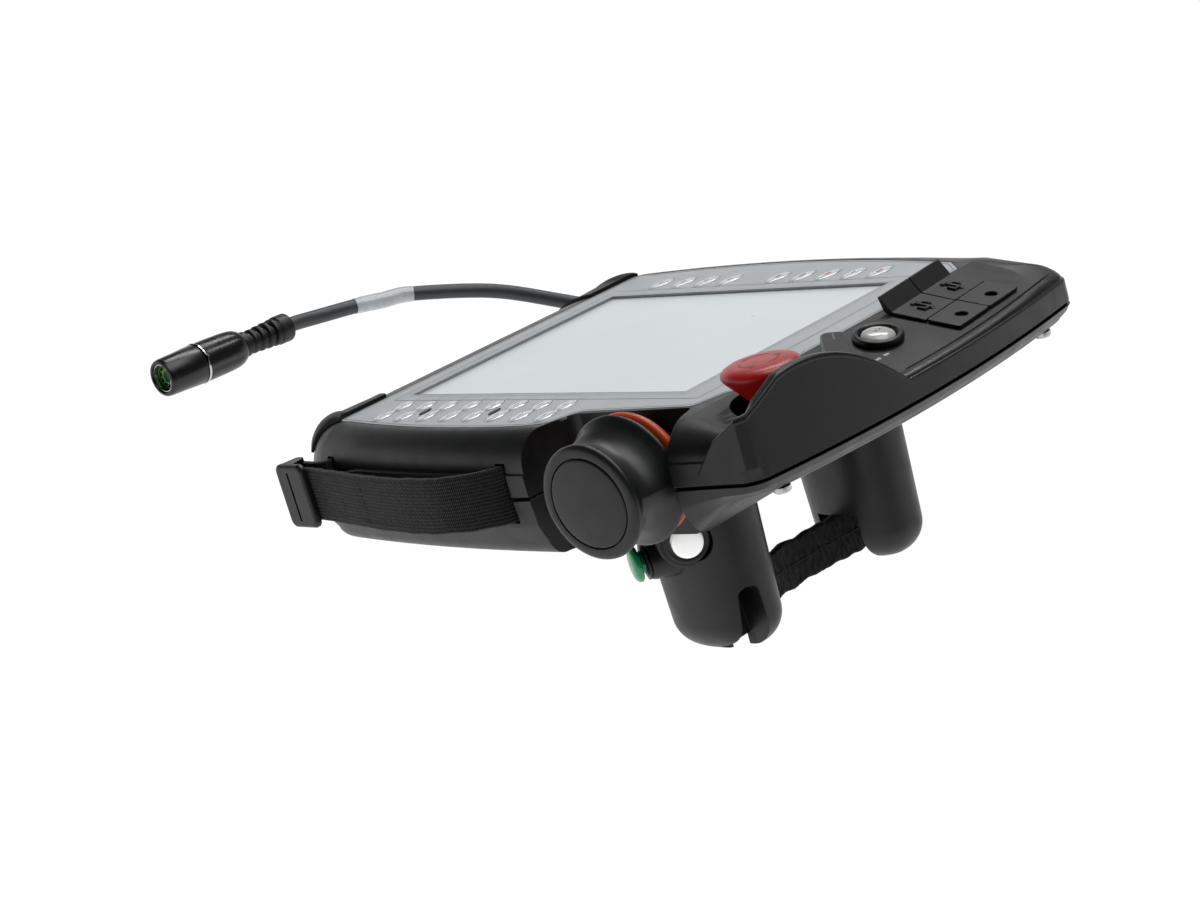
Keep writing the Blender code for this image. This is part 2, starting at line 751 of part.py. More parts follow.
def make_selector(root):
    """Mode selector: a flanged switch body and a winged knob that turns a quarter turn."""
    body = lathe(
        "selector_switch",
        [(9.7, -10.0), (9.7, GAP), (12.6, GAP), (12.6, 1.6), (11.4, 2.4), (3.3, 2.4), (3.3, -10.0)],
        root, (SOFT_BLACK, 0.5, 0.0), closed=True,
    )
    put(body, console_point(*SELECTOR_AT), SLOPE_AXIS)
    knob = lathe(
        "selector_knob", [(10.6, 2.8), (10.6, 5.2), (9.8, 6.0)], root, (BLACK, 0.4, 0.0)
    )
    wing = prism(
        "selector_wing_joined",
        rounded([(-5.6, -12.6), (5.6, -12.6), (5.0, 12.6), (-5.0, 12.6)], 2.4),
        5.0, 12.0, root,
    )
    shaft = lathe("selector_shaft_joined", [(2.9, 3.4), (2.9, -8.0)], root, None, 16)
    put(knob, console_point(*SELECTOR_AT), SLOPE_AXIS, math.radians(-45))
    for piece in (wing, shaft):
        put(piece, console_point(*SELECTOR_AT), SLOPE_AXIS, math.radians(-45))
    join(knob, wing, shaft)


def make_disconnect(root):
    """Domed push button in a raised ring."""
    body = lathe(
        "disconnect_switch",
        [
            (7.9, -9.0), (7.9, GAP), (10.4, GAP), (10.4, 2.2), (9.7, 3.2), (8.2, 3.2),
            (7.5, 2.4), (7.5, -5.0),
        ],
        root, (SOFT_BLACK, 0.45, 0.0),
    )
    put(body, console_point(*DISCONNECT_AT), SLOPE_AXIS)
    button = lathe(
        "disconnect_button",
        [(7.1, -2.6), (7.1, 1.6), (6.4, 2.7), (4.6, 3.5), (2.3, 3.9), (0.4, 4.0)],
        root, ((0.50, 0.51, 0.50, 1.0), 0.35, 0.0),
    )
    put(button, console_point(*DISCONNECT_AT), SLOPE_AXIS)


def put_on_ports(item, origin=(0.0, 0.0, 0.0)):
    """Place an item in the frame of the two port covers: X across them, Z out of the console."""
    turn = Matrix.Rotation(-CONSOLE_TILT, 3, "X") @ Matrix.Rotation(PORTS_TURN, 3, "Z")
    item.location = metres(Vector(console_point(*PORTS_AT)) + turn @ Vector(origin))
    item.rotation_mode = "QUATERNION"
    item.rotation_quaternion = turn.to_quaternion()


def make_ports(root):
    """Rubber covers: a screwed pad, a living hinge and a lid with a raised finger tab."""
    rubber = (SOFT_BLACK, 0.75, 0.0)
    metal = ((0.45, 0.45, 0.46, 1.0), 0.35, 1.0)
    for name, x in (("right", PORT_PITCH / 2), ("left", -PORT_PITCH / 2)):
        half = PORT_PITCH / 2 - 0.3
        corners = [(x - half, 1.8), (x + half, 1.8), (x + half, 17.0), (x - half, 17.0)]
        pad = prism(f"port_pad_{name}", rounded(corners, 1.0), GAP, 1.6, root, rubber)
        hole = lathe(f"pad_hole_{name}_cutter", [(2.1, -1.0), (2.1, 4.0)], root, None, 16)
        put_on_ports(pad)
        put_on_ports(hole, (x, 11.0, 0.0))
        cut(pad, hole)
        side = [(-17.2, GAP), (0.9, GAP), (1.2, 0.7), (1.2, 1.4), (-14.6, 1.6), (-20.4, 7.2),
                (-21.4, 6.9), (-18.6, 1.2)]
        hinge_y, hinge_z = LID_HINGE
        rings = [[(px, y - hinge_y, z - hinge_z) for y, z in side] for px in (x - half, x + half)]
        lid = loft(f"port_lid_{name}", rings, root, rubber)
        put_on_ports(lid, (0.0, hinge_y, hinge_z))
        socket = box(f"usb_socket_{name}", (x - 7.2, -11.0, -15.0), (x + 7.2, -4.0, -0.4), root, metal)
        mouth = box(f"usb_mouth_{name}_cutter", (x - 6.4, -10.2, -12.0), (x + 6.4, -4.8, 2.0), root)
        tongue = box(f"usb_tongue_{name}_joined", (x - 5.6, -7.2, -12.5), (x + 5.6, -5.4, -2.0), root)
        for piece in (socket, mouth, tongue):
            put_on_ports(piece)
        cut(socket, mouth)
        join(socket, tongue)


# ---------------------------------------------------------------- 6D mouse
def knob_ring(radius, height, lobe, count=30):
    """A ring of the knob's neck, with three finger scoops between ridges."""
    ring = []
    for i in range(count):
        angle = 2 * math.pi * i / count
        ridge = (1 - abs(math.sin(1.5 * (angle - MOUSE_RIDGE)))) ** 1.5
        r = radius + lobe * ridge
        ring.append((r * math.cos(angle), r * math.sin(angle), height))
    return ring


def make_mouse(root):
    """The knob on its chain: plunger in the mount, two gimbal pieces, then the knob."""
    rubber = ((0.014, 0.014, 0.016, 1.0), 0.5, 0.0)
    steel = ((0.5, 0.5, 0.5, 1.0), 0.35, 1.0)
    base = Vector(MOUSE_CAP_AT)

    def seat(item):
        put(item, base, MOUSE_AXIS)

    profile = [
        (18.4, -1.9, 0), (18.4, 0.2, 0), (21.6, 0.0, 0), (23.3, -1.7, 0), (22.7, -3.2, 0),
        (20.8, -5.2, 1.2), (19.6, -8.0, 2.8), (19.2, -11.5, 3.6), (20.4, -15.5, 3.2), (23.2, -19.5, 1.5),
        (26.6, -22.8, 0), (26.2, -24.0, 0), (12.6, -24.0, 0), (12.6, -6.0, 0),
    ]
    knob = loft("mouse_knob", [knob_ring(*row) for row in profile], root, rubber)
    cap = lathe(
        "mouse_cap", [(18.0, -1.6), (18.0, 0.1), (17.2, 0.4), (9.0, 0.9), (0.5, 1.1)], root, rubber, 30
    )
    hub = lathe("mouse_gimbal_hub", [(8.0, -6.5), (8.0, -10.0)], root, steel)
    ring = lathe(
        "mouse_gimbal_ring", [(9.0, -11.0), (9.0, -14.5), (5.0, -14.5), (5.0, -11.0)], root, steel, 12,
        closed=True,
    )
    plunger = lathe(
        "mouse_plunger", [(6.5, -15.2), (6.5, -18.5), (3.2, -18.7), (3.2, -39.0)], root, steel, 16
    )
    orange = lathe(
        "mouse_ring",
        [(12.0, -27.2), (22.5, -27.2), (25.0, -28.2), (25.4, -30.0), (24.2, -31.6), (12.0, -31.6)],
        root, ((0.78, 0.16, 0.02, 1.0), 0.45, 0.0), 24, closed=True,
    )
    mount = lathe(
        "mouse_mount",
        [(15.2, -43.5), (20.5, -32.0), (11.6, -32.0), (11.6, -27.2), (3.8, -27.2), (3.8, -41.0)],
        root, (BLACK, 0.5, 0.0),
    )
    for item in (knob, cap, hub, ring, plunger, orange, mount):
        seat(item)


# ---------------------------------------------------------------- rear: domes and switches
def dome_ring(height, side, inset=0.0, count=28):
    widen = 1 + DOME_TAPER * max(height - DOME_BOTTOM, DOME_FILLET)
    ring = []
    for x, y in oval(DOME_HALF[0] * widen - inset, DOME_HALF[1] * widen - inset, count, 2.4):
        ring.append((side * (DOME_AT[0] + x), DOME_AT[1] + y, height))
    return ring


def make_dome(root, name, side, bosses=(), cutters=()):
    """A grip dome with its rounded end, its pocket for the dome strap and its switch boss."""
    top = REAR_DEEP - GAP
    rings = [dome_ring(top, side), dome_ring(-84.0, side)]
    for angle in (0, 22, 45, 68, 90):
        turn = math.radians(angle)
        height = DOME_BOTTOM + DOME_FILLET * (1 - math.sin(turn))
        rings.append(dome_ring(height, side, DOME_FILLET * (1 - math.cos(turn))))
    dome = loft(name, rings, root, (BLACK, 0.42, 0.0))
    axis = Vector((side * SWITCH_AXIS.x, SWITCH_AXIS.y, SWITCH_AXIS.z))
    at = (side * SWITCH_AT[0], SWITCH_AT[1], SWITCH_AT[2])
    boss = lathe(f"{name}_boss_joined", [(13.6, -22.0), (12.2, -1.6), (11.2, -1.0)], root)
    put(boss, at, axis)
    roof = box(f"{name}_roof_cutter", (-130, 0, top), (130, 130, 20), root)
    bore = lathe(f"{name}_bore_cutter", [(7.5, -20.0), (7.5, -0.9), (10.1, -0.9), (10.1, 9.0)], root)
    put(bore, at, axis)
    inner = side * (DOME_AT[0] - DOME_HALF[0] - 12)
    wall = side * (DOME_AT[0] + POCKET_WALL)
    pocket = box(
        f"{name}_pocket_cutter",
        (min(inner, wall), DOME_AT[1] - 13.0, DOME_BOTTOM - 5),
        (max(inner, wall), DOME_AT[1] + 9.6, POCKET_TOP), root,
    )
    join(dome, boss, *bosses)
    cut(dome, roof, bore, pocket, *cutters)
    return dome


def make_domes(root):
    slit_corners = [(47.0, -130.0, 0), (60.6, -130.0, 0), (58.2, -87.2, 3.4), (50.4, -87.2, 3.4)]
    slit = prism("dome_slit_cutter", rounded(slit_corners, 0), -90.0, -67.5, root)
    slit.rotation_euler = (math.radians(90), 0, 0)
    through = box("dome_slit_end_cutter", (48.0, 60.0, DOME_BOTTOM - 10), (59.6, 70.0, DOME_BOTTOM + 6), root)
    collar_bore = lathe(
        "start_bore_cutter", [(5.6, -16.0), (5.6, -2.1), (8.4, -2.1), (8.4, 9.0)], root
    )
    put(collar_bore, START_AT, START_AXIS)
    collar = lathe("start_boss_joined", [(11.0, -20.0), (9.6, -9.0), (8.2, -2.4)], root)
    put(collar, START_AT, START_AXIS)
    make_dome(root, "grip_dome_right", 1, [collar], [slit, through, collar_bore])
    make_dome(root, "grip_dome_left", -1)


def make_dome_switches(root):
    white = ((0.80, 0.80, 0.79, 1.0), 0.35, 0.0)
    bezel = [
        (7.2, -12.0), (7.2, -0.6), (9.8, -0.6), (9.8, 0.6), (9.2, 1.2), (7.3, 1.0),
        (6.8, 0.4), (6.8, -9.8),
    ]
    cap = [(6.5, -6.0), (6.5, 3.1), (5.9, 4.1), (4.1, 4.7), (0.4, 5.0)]
    for name, side in (("right", 1), ("left", -1)):
        axis = Vector((side * SWITCH_AXIS.x, SWITCH_AXIS.y, SWITCH_AXIS.z))
        at = (side * SWITCH_AT[0], SWITCH_AT[1], SWITCH_AT[2])
        switch = lathe(f"enabling_switch_{name}", bezel, root, (SOFT_BLACK, 0.45, 0.0))
        button = lathe(f"enabling_button_{name}", cap, root, white)
        put(switch, at, axis)
        put(button, at, axis)
    start = lathe(
        "start_switch",
        [(5.3, -11.2), (5.3, -1.8), (8.0, -1.8), (8.0, -0.9), (5.6, -0.3), (4.9, -0.5), (4.9, -9.2)],
        root, (SOFT_BLACK, 0.45, 0.0),
    )
    button = lathe(
        "start_button",
        [(4.5, -7.0), (4.5, 1.3), (7.4, 1.5), (7.8, 2.5), (7.0, 4.1), (4.6, 4.8), (0.4, 5.1)],
        root, ((0.0, 0.22, 0.09, 1.0), 0.35, 0.0),
    )
    put(start, START_AT, START_AXIS)
    put(button, START_AT, START_AXIS)


def make_dome_strap(root):
    """Hook-and-loop strap from the pocket of one dome to the other, bowed by the hand."""
    reach = DOME_AT[0] + POCKET_WALL - GAP
    half = [(20.0, 50.5), (36.0, 52.0), (reach, 51.5)]
    path = smooth_path([(-x, y) for x, y in reversed(half)] + [(0.0, 49.0)] + half, 3)
    span = (DOME_BOTTOM + 3.5, POCKET_TOP - 0.5)
    band("dome_strap", path, 3.2, span, root, ((0.008, 0.008, 0.008, 1.0), 0.95, 0.0))


# ---------------------------------------------------------------- hand straps
def strap_slots(root):
    """Cutters for the pockets in both side walls, in which the webbing is anchored."""
    low, high = STRAP_SPAN
    slots = []
    for side in (1, -1):
        for y in STRAP_ENDS:
            inner = side * (wall_side(y) - STRAP_POCKET)
            outer = side * (wall_side(y) + 6.0)
            slots.append(
                box("strap_slot_cutter", (min(inner, outer), y - 2.8, low - 0.6),
                    (max(inner, outer), y + 2.8, high + 0.6), root)
            )
    return slots


def make_hand_strap(root, name, side):
    """Webbing from the upper slot, out over the hand, round the buckle's bar and back in."""
    turn_r = BUCKLE_BAR_R + 0.2 + STRAP_THICK / 2
    upper, lower = [wall_side(y) - STRAP_POCKET + GAP for y in STRAP_ENDS]
    route = [
        (upper, 24.0), (115.6, 23.0), (118.6, 20.0), (124.0, 11.0), (128.2, -2.0), (129.4, -18.0),
        (128.6, -36.0), (126.0, -58.0), (122.4, -80.0), (120.6, -93.0), (120.6, -101.0),
    ]
    path = smooth_path(route, 2)
    for angle in range(0, 181, 30):
        turn = math.radians(angle)
        path.append(
            Vector((BUCKLE_BAR[0] + turn_r * math.cos(turn), BUCKLE_BAR[1] - turn_r * math.sin(turn)))
        )
    path += smooth_path([(113.8, -103.0), (113.6, -98.6), (112.2, -94.6), (lower, -93.2)], 2)
    path = [Vector((side * p[0], p[1])) for p in path]
    band(name, path, STRAP_THICK, STRAP_SPAN, root, ((0.012, 0.012, 0.012, 1.0), 0.9, 0.0))


def make_buckle(root, name, side):
    """Plastic buckle: a slotted plate over the webbing, and behind it a bar between two ears."""
    inner, thick = BUCKLE_PLATE
    low, high = STRAP_SPAN[0] - BUCKLE_MARGIN, STRAP_SPAN[1] + BUCKLE_MARGIN
    bottom, top = BUCKLE_SPAN
    middle = ((low + high) / 2, (bottom + top) / 2)
    outline = rounded([(low, top), (high, top), (high, bottom), (low, bottom)], 3.0, 2)
    rings = []
    for share, shrink in ((0.0, 0.5), (0.15, 0.0), (0.6, 0.0), (0.9, 0.7), (1.0, 1.8)):
        ring = []
        for z, y in outline:
            ring.append((side * (inner + thick * share), y - math.copysign(shrink, y - middle[1]),
                         z - math.copysign(shrink, z - middle[0])))
        rings.append(ring)
    buckle = loft(name, rings, root, (SOFT_BLACK, 0.35, 0.0))
    bar_x, bar_y = BUCKLE_BAR
    bar_ends = [(BUCKLE_BAR_R, low + 1.0), (BUCKLE_BAR_R, high - 1.0)]
    bar = lathe(f"{name}_bar_joined", bar_ends, root, segments=10)
    bar.location = metres((side * bar_x, bar_y, 0.0))
    join(buckle, bar)
    reach = inner + 1.0
    tip = bar_x - 2.6
    corners = [(tip, bar_y - 2.6), (reach, bar_y - 4.0, 0), (reach, bar_y + 4.0, 0), (tip, bar_y + 2.6)]
    ear = rounded(corners, 2.0, 2)
    for start in (low + 0.1, high - 2.0):
        piece = prism(f"{name}_ear_joined", [(side * x, y) for x, y in ear], start, start + 1.9, root)
        join(buckle, piece)
    slot = box(
        f"{name}_slot_cutter", (side * inner - 3.0, bar_y + 1.0, STRAP_SPAN[0] + 0.8),
        (side * inner + 6.0, bar_y + 2.2, STRAP_SPAN[1] - 0.8), root,
    )
    cut(buckle, slot)


# ---------------------------------------------------------------- cable and connector
def make_cable_cover(root):
    top = REAR_DEEP - GAP
    outline = rounded([(-58.0, -86.0), (58.0, -86.0), (58.0, -30.0), (-58.0, -30.0)], 8.0)
    small = rounded([(-55.0, -83.0), (55.0, -83.0), (55.0, -33.0), (-55.0, -33.0)], 6.0)
    rings = [
        [(x, y, top) for x, y in outline],
        [(x, y, -60.8) for x, y in outline],
        [(x, y, -63.4) for x, y in small],
    ]
    cover = loft("cable_cover", rings, root, (BLACK, 0.45, 0.0))
    seat = lathe("gland_seat_cutter", [(4.1, -3.0), (4.1, 40.0)], root)
    put(seat, (-52.0, -58.0, -58.0), (-1, 0, 0))
    cut(cover, seat)
    gland = lathe(
        "cable_gland",
        [(4.2, 0.0), (5.6, 0.0), (5.6, 4.0), (5.2, 5.0), (5.2, 11.0), (4.6, 16.0), (4.2, 16.0)],
        root, (SOFT_BLACK, 0.6, 0.0), 14, closed=True,
    )
    put(gland, (-58.3, -58.0, -58.0), (-1, 0, 0))


def make_cable(base, start):
    """Cable on the floor, from inside the gland to the connector's boot. World frame."""
    boot_end = PLUG_FRONT - PLUG_AXIS * PLUG_LONG
    route = [
        start, start + Vector((-7.0, 0.0, 0.0)), start + Vector((-15.0, 0.0, 0.0)),
        Vector((-90.0, -34.5, 14.5)), Vector((-107.0, -44.0, 7.0)), Vector((-123.0, -70.0, 3.9)),
        Vector((-133.0, -108.0, 3.9)), Vector((-129.0, -143.0, 3.9)), Vector((-119.8, -168.8, 3.9)),
        Vector((-103.1, -201.1, 4.0)), Vector((-72.4, -227.3, 4.5)), SLEEVE_AT,
        Vector((-41.7, -237.9, 4.9)), Vector((-20.0, -241.6, 5.9)),
        boot_end - PLUG_AXIS * 6.0, boot_end,
    ]
    points = smooth_path(route, 2)
    data = bpy.data.curves.new("cable", "CURVE")
    data.dimensions = "3D"
    data.bevel_depth = CABLE_R * 0.001
    data.bevel_resolution = 2
    data.use_fill_caps = True
    spline = data.splines.new("POLY")
    spline.points.add(len(points) - 1)
    for spot, point in zip(spline.points, points):
        spot.co = (*metres(point), 1.0)
    cable = bpy.data.objects.new("cable", data)
    bpy.context.collection.objects.link(cable)
    cable.parent = base
    data.materials.append(make_material("cable", BLACK, 0.5))
    return points


def make_cable_sleeve(base, points):
    """Blank label sleeve shrunk on the cable, following its curve."""
    centre = min(range(len(points)), key=lambda i: (points[i] - SLEEVE_AT).length)
    spine = points[centre - 2 : centre + 3]
    rings = []
    for radius, order in ((CABLE_R + 0.7, 1), (CABLE_R + GAP, -1)):
        rows = []
        for i, point in enumerate(spine):
            along = (spine[min(i + 1, len(spine) - 1)] - spine[max(i - 1, 0)]).normalized()
            side = along.cross(Vector((0, 0, 1))).normalized()
            up = side.cross(along)
            rows.append(
                [point + (side * math.cos(a) + up * math.sin(a)) * radius
                 for a in (2 * math.pi * k / 12 for k in range(12))]
            )
        rings += rows[::order]
    loft("cable_sleeve", rings, base, ((0.55, 0.57, 0.58, 1.0), 0.35, 0.0), closed=True)


def make_connector(base):
    """Round connector, turned about its own axis. Heights run back from the front face."""
    black = (SOFT_BLACK, 0.38, 0.0)

    def seat(item):
        put(item, PLUG_FRONT, -PLUG_AXIS)

    barrel = lathe(
        "connector_barrel",
        [(8.2, 0.0), (9.2, 1.0), (9.6, 11.0), (10.1, 21.6), (6.9, 21.6), (6.9, 2.4), (7.3, 0.0)],
        base, black, closed=True,
    )
    ring = lathe(
        "connector_ring", [(10.4, 21.9), (10.4, 23.1), (7.0, 23.1), (7.0, 21.9)], base,
        ((0.7, 0.7, 0.7, 1.0), 0.25, 1.0), closed=True,
    )
    insert = lathe(
        "connector_insert",
        [(6.6, 21.4), (6.6, 2.2), (5.9, 2.2), (5.9, 9.0), (3.3, 9.0), (3.3, 5.2)], base,
        ((0.02, 0.25, 0.07, 1.0), 0.45, 0.0),
    )
    body = lathe(
        "connector_body",
        [(9.9, 23.4), (10.0, 24.6), (9.8, 40.5), (9.0, 46.0), (6.6, 49.2), (6.6, 49.4)], base, black, 12,
    )
    rows = [(6.2, 49.7), (6.2, 52.4)]
    for i in range(4):
        z = 53.4 + 4.6 * i
        rows += [(5.0, z), (5.0, z + 1.4), (6.1 + 0.25 * i, z + 2.2), (6.1 + 0.25 * i, z + 4.2)]
    rows += [(7.2, 72.4), (7.2, PLUG_LONG - 0.8), (6.4, PLUG_LONG - 0.3)]
    boot = lathe("connector_boot", rows, base, (SOFT_BLACK, 0.6, 0.0), 14)
    for item in (barrel, ring, insert, body, boot):
        seat(item)


# ---------------------------------------------------------------- the whole pendant
def rest_pose():
    """Tilt and lift that lay the pendant on its domes and its lower rear edge."""
    widen = 1 + DOME_TAPER * DOME_FILLET
    heel_y = DOME_AT[1] - (DOME_HALF[1] * widen - DOME_FILLET)
    heel_z = DOME_BOTTOM + DOME_FILLET
    across, rise = heel_y - HEEL_Y, heel_z - REAR_DEEP - HEEL_R
    tilt = -math.atan2(rise, across) + math.asin((DOME_FILLET - HEEL_R) / math.hypot(across, rise))
    lift = DOME_FILLET - (heel_y * math.sin(tilt) + heel_z * math.cos(tilt))
    return tilt, lift


def main():
    clear_scene()
    tilt, lift = rest_pose()
    base = make_empty("pendant_control_station", None, (-FOOTPRINT_CENTRE[0], -FOOTPRINT_CENTRE[1], 0.0))
    turn = Matrix.Rotation(tilt, 3, "X")
    root = make_empty("pendant_frame", base, (0.0, 0.0, lift), turn.to_quaternion())
    notch = prism("notch_cutter", notch_outline(0.0), -80.0, 20.0, root)
    notch_wall = prism("notch_wall_cutter", notch_outline(WALL), -80.0, 20.0, root)
    cavity = make_cavity(root, notch_wall)
    for helper in (notch, notch_wall, cavity):
        helper.hide_render = True
        helper.display_type = "WIRE"
    slots = strap_slots(root)
    make_front_shell(root, cavity, notch, slots)
    make_rear_shell(root, cavity, notch, slots)
    make_gasket(root, notch_wall, slots)
    make_foil(root)
    make_screen(root)
    make_corner_guard(root, "corner_guard_right", 1)
    make_corner_guard(root, "corner_guard_left", -1)
    make_screws(root)
    make_estop(root)
    make_selector(root)
    make_disconnect(root)
    make_ports(root)
    make_mouse(root)
    make_domes(root)
    make_dome_switches(root)
    make_dome_strap(root)
    for name, side in (("right", 1), ("left", -1)):
        make_hand_strap(root, f"hand_strap_{name}", side)
        make_buckle(root, f"strap_buckle_{name}", side)
    make_cable_cover(root)
    gland_mouth = turn @ Vector((-62.0, -58.0, -58.0)) + Vector((0.0, 0.0, lift))
    points = make_cable(base, gland_mouth)
    make_cable_sleeve(base, points)
    make_connector(base)


main()
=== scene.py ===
"""How the pendant control station looks: fine surfaces, webbing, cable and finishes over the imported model.

Shapes are in millimetres, either in the pendant's own frame (X to the right of the screen, Y to
its top edge, Z out of the screen) or, for what lies on the floor, in the row frame.
"""

import json
import math

import bmesh
import bpy
from mathutils import Matrix, Vector, noise


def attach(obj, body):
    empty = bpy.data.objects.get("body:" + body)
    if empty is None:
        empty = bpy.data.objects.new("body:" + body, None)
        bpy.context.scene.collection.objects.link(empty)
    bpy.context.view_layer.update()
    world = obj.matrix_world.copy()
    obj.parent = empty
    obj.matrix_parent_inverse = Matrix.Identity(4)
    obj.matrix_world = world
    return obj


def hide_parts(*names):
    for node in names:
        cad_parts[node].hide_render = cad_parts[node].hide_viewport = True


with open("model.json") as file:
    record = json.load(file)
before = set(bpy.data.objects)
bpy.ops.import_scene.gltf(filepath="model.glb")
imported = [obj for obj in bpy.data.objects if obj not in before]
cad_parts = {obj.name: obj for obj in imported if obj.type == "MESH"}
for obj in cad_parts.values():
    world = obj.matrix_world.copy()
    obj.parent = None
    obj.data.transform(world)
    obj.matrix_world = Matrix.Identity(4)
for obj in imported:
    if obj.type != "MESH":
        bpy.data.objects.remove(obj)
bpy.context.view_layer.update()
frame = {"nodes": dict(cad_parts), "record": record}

# ---------------------------------------------------------------- frames and sizes, mm
MM = 0.001
TILT = math.radians(22.155426)
PENDANT = (
    Matrix.Translation((-0.0016, -0.0199, 0.09226774))
    @ Matrix.Rotation(TILT, 4, "X")
    @ Matrix.Scale(MM, 4)
)
ROW = Matrix.Translation((-0.0016, -0.0199, 0.0)) @ Matrix.Scale(MM, 4)

FLOOR_REACH = 9000.0
SCREEN_X, SCREEN_Y = 63.9, 85.2
GAP = 0.3
WALL = 3.0
CEILING = 5.2
HALF_WIDTH = 115.0
TOP_EDGE = 158.7
TOP_ROUND = 3.7
SLOPE_START = 112.0
SLOPE = 0.25
CONSOLE_TILT = math.atan(SLOPE)
SLOPE_AXIS = Vector((0.0, math.sin(CONSOLE_TILT), math.cos(CONSOLE_TILT)))
BOTTOM_EDGE = -133.0
BOTTOM_CORNER = 30.0
TOP_CORNER = 7.0
REAR_DEEP = -52.0
REAR_SHALLOW = -30.0
HEEL_Y = -115.0
HEEL_R = 10.0
CORNER_STEPS = 12
SIDE_STEPS = 28
CROWN_STEPS = 18
SPLIT_GAP = 0.6
SWELL = 0.8
CREST_START = -11.0
CREST_CLIMB = 58.0
CREST_TOP = 13.9
CREST_TOP_AT = 0.51
CREST_FALL = 116.0
CREST_STEPS = 120
GROOVE_INSET = 0.9
FOIL_THICK = 0.8
GLASS_TOP = -1.2
GLASS_THICK = 1.6
GLASS_MARGIN = 4.2
KEY_PITCH = 15.0
KEY_TURN = math.radians(8)
ON_FILM = 0.05
ON_KEYS = 0.63
ESTOP_AT = (65.5, SLOPE_START + 18.5)
SELECTOR_AT = (30.0, SLOPE_START + 22.0)
DISCONNECT_AT = (-3.2, SLOPE_START + 16.0)
PORTS_AT = (-47.8, SLOPE_START + 19.0)
PORTS_TURN = math.radians(5.0)
PORT_PITCH = 22.6
MOUSE_CAP_AT = Vector((HALF_WIDTH + 12.1, SLOPE_START - 26.1, -20.8))
MOUSE_AXIS = Vector((0.996, 0.090, 0.0)).normalized()
MOUSE_RIDGE = math.radians(118.0)
MOUSE_POINTS = 216
DOME_AT = (47.0, 55.0)
DOME_HALF = (16.8, 24.8)
DOME_BOTTOM = -116.3
DOME_FILLET = 14.0
DOME_TAPER = 0.087 / 60.0
DOME_POINTS = 112
DOME_SQUARENESS = 2.4
POCKET_TOP = -92.5
POCKET_WALL = 6.0
SWITCH_AT = (66.0, 64.5, -62.8)
SWITCH_AXIS = Vector((0.64, 0.765, -0.08)).normalized()
START_AT = (73.0, 42.5, -70.0)
START_AXIS = Vector((0.86, -0.51, 0.0)).normalized()
STRAP_SPAN = (-35.5, -11.5)
STRAP_THICK = 2.0
STRAP_ENDS = (23.6, -93.2)
STRAP_POCKET = 2.4
STITCH_PITCH = 2.6
BUCKLE_BAR = (117.2, -107.5)
BUCKLE_BAR_R = 2.2
BUCKLE_PLATE = (122.1, 3.2)
BUCKLE_SPAN = (-114.5, -95.5)
BUCKLE_MARGIN = 2.5
CABLE_R = 3.75
PLUG_LONG = 80.0
PLUG_FRONT = Vector((79.3, -241.3, 10.5))
PLUG_AXIS = Vector((1.0, 0.011, 0.036)).normalized()
SLEEVE_AT = Vector((-57.1, -232.9, 4.6))
GUARD_SEAT = 0.5
GUARD_EDGE = 0.5
GUARD_CROWN = 2.5
HANDS = (("right", 1), ("left", -1))


# ---------------------------------------------------------------- finishes
def tint(code):
    """A linear colour from an sRGB hex code."""
    parts = [int(code[i : i + 2], 16) / 255 for i in (1, 3, 5)]
    return (*[c / 12.92 if c <= 0.04045 else ((c + 0.055) / 1.055) ** 2.4 for c in parts], 1.0)


def add(tree, kind, settings=None, stops=(), **inputs):
    """One shader node, with its settings, its (place, colour) stops, its constants and its links."""
    made = tree.nodes.new("ShaderNode" + kind)
    for key, value in (settings or {}).items():
        setattr(made, key, value)
    for key, value in inputs.items():
        socket = made.inputs[key.replace("_", " ")]
        if isinstance(value, bpy.types.NodeSocket):
            tree.links.new(value, socket)
        else:
            socket.default_value = value
    for i, (place, colour) in enumerate(stops):
        made.color_ramp.elements[i].position = place
        made.color_ramp.elements[i].color = tint(colour)
    return made


def period(size):
    """Texture scale for a pattern with one feature every so many millimetres."""
    return 1.0 / (size * MM)


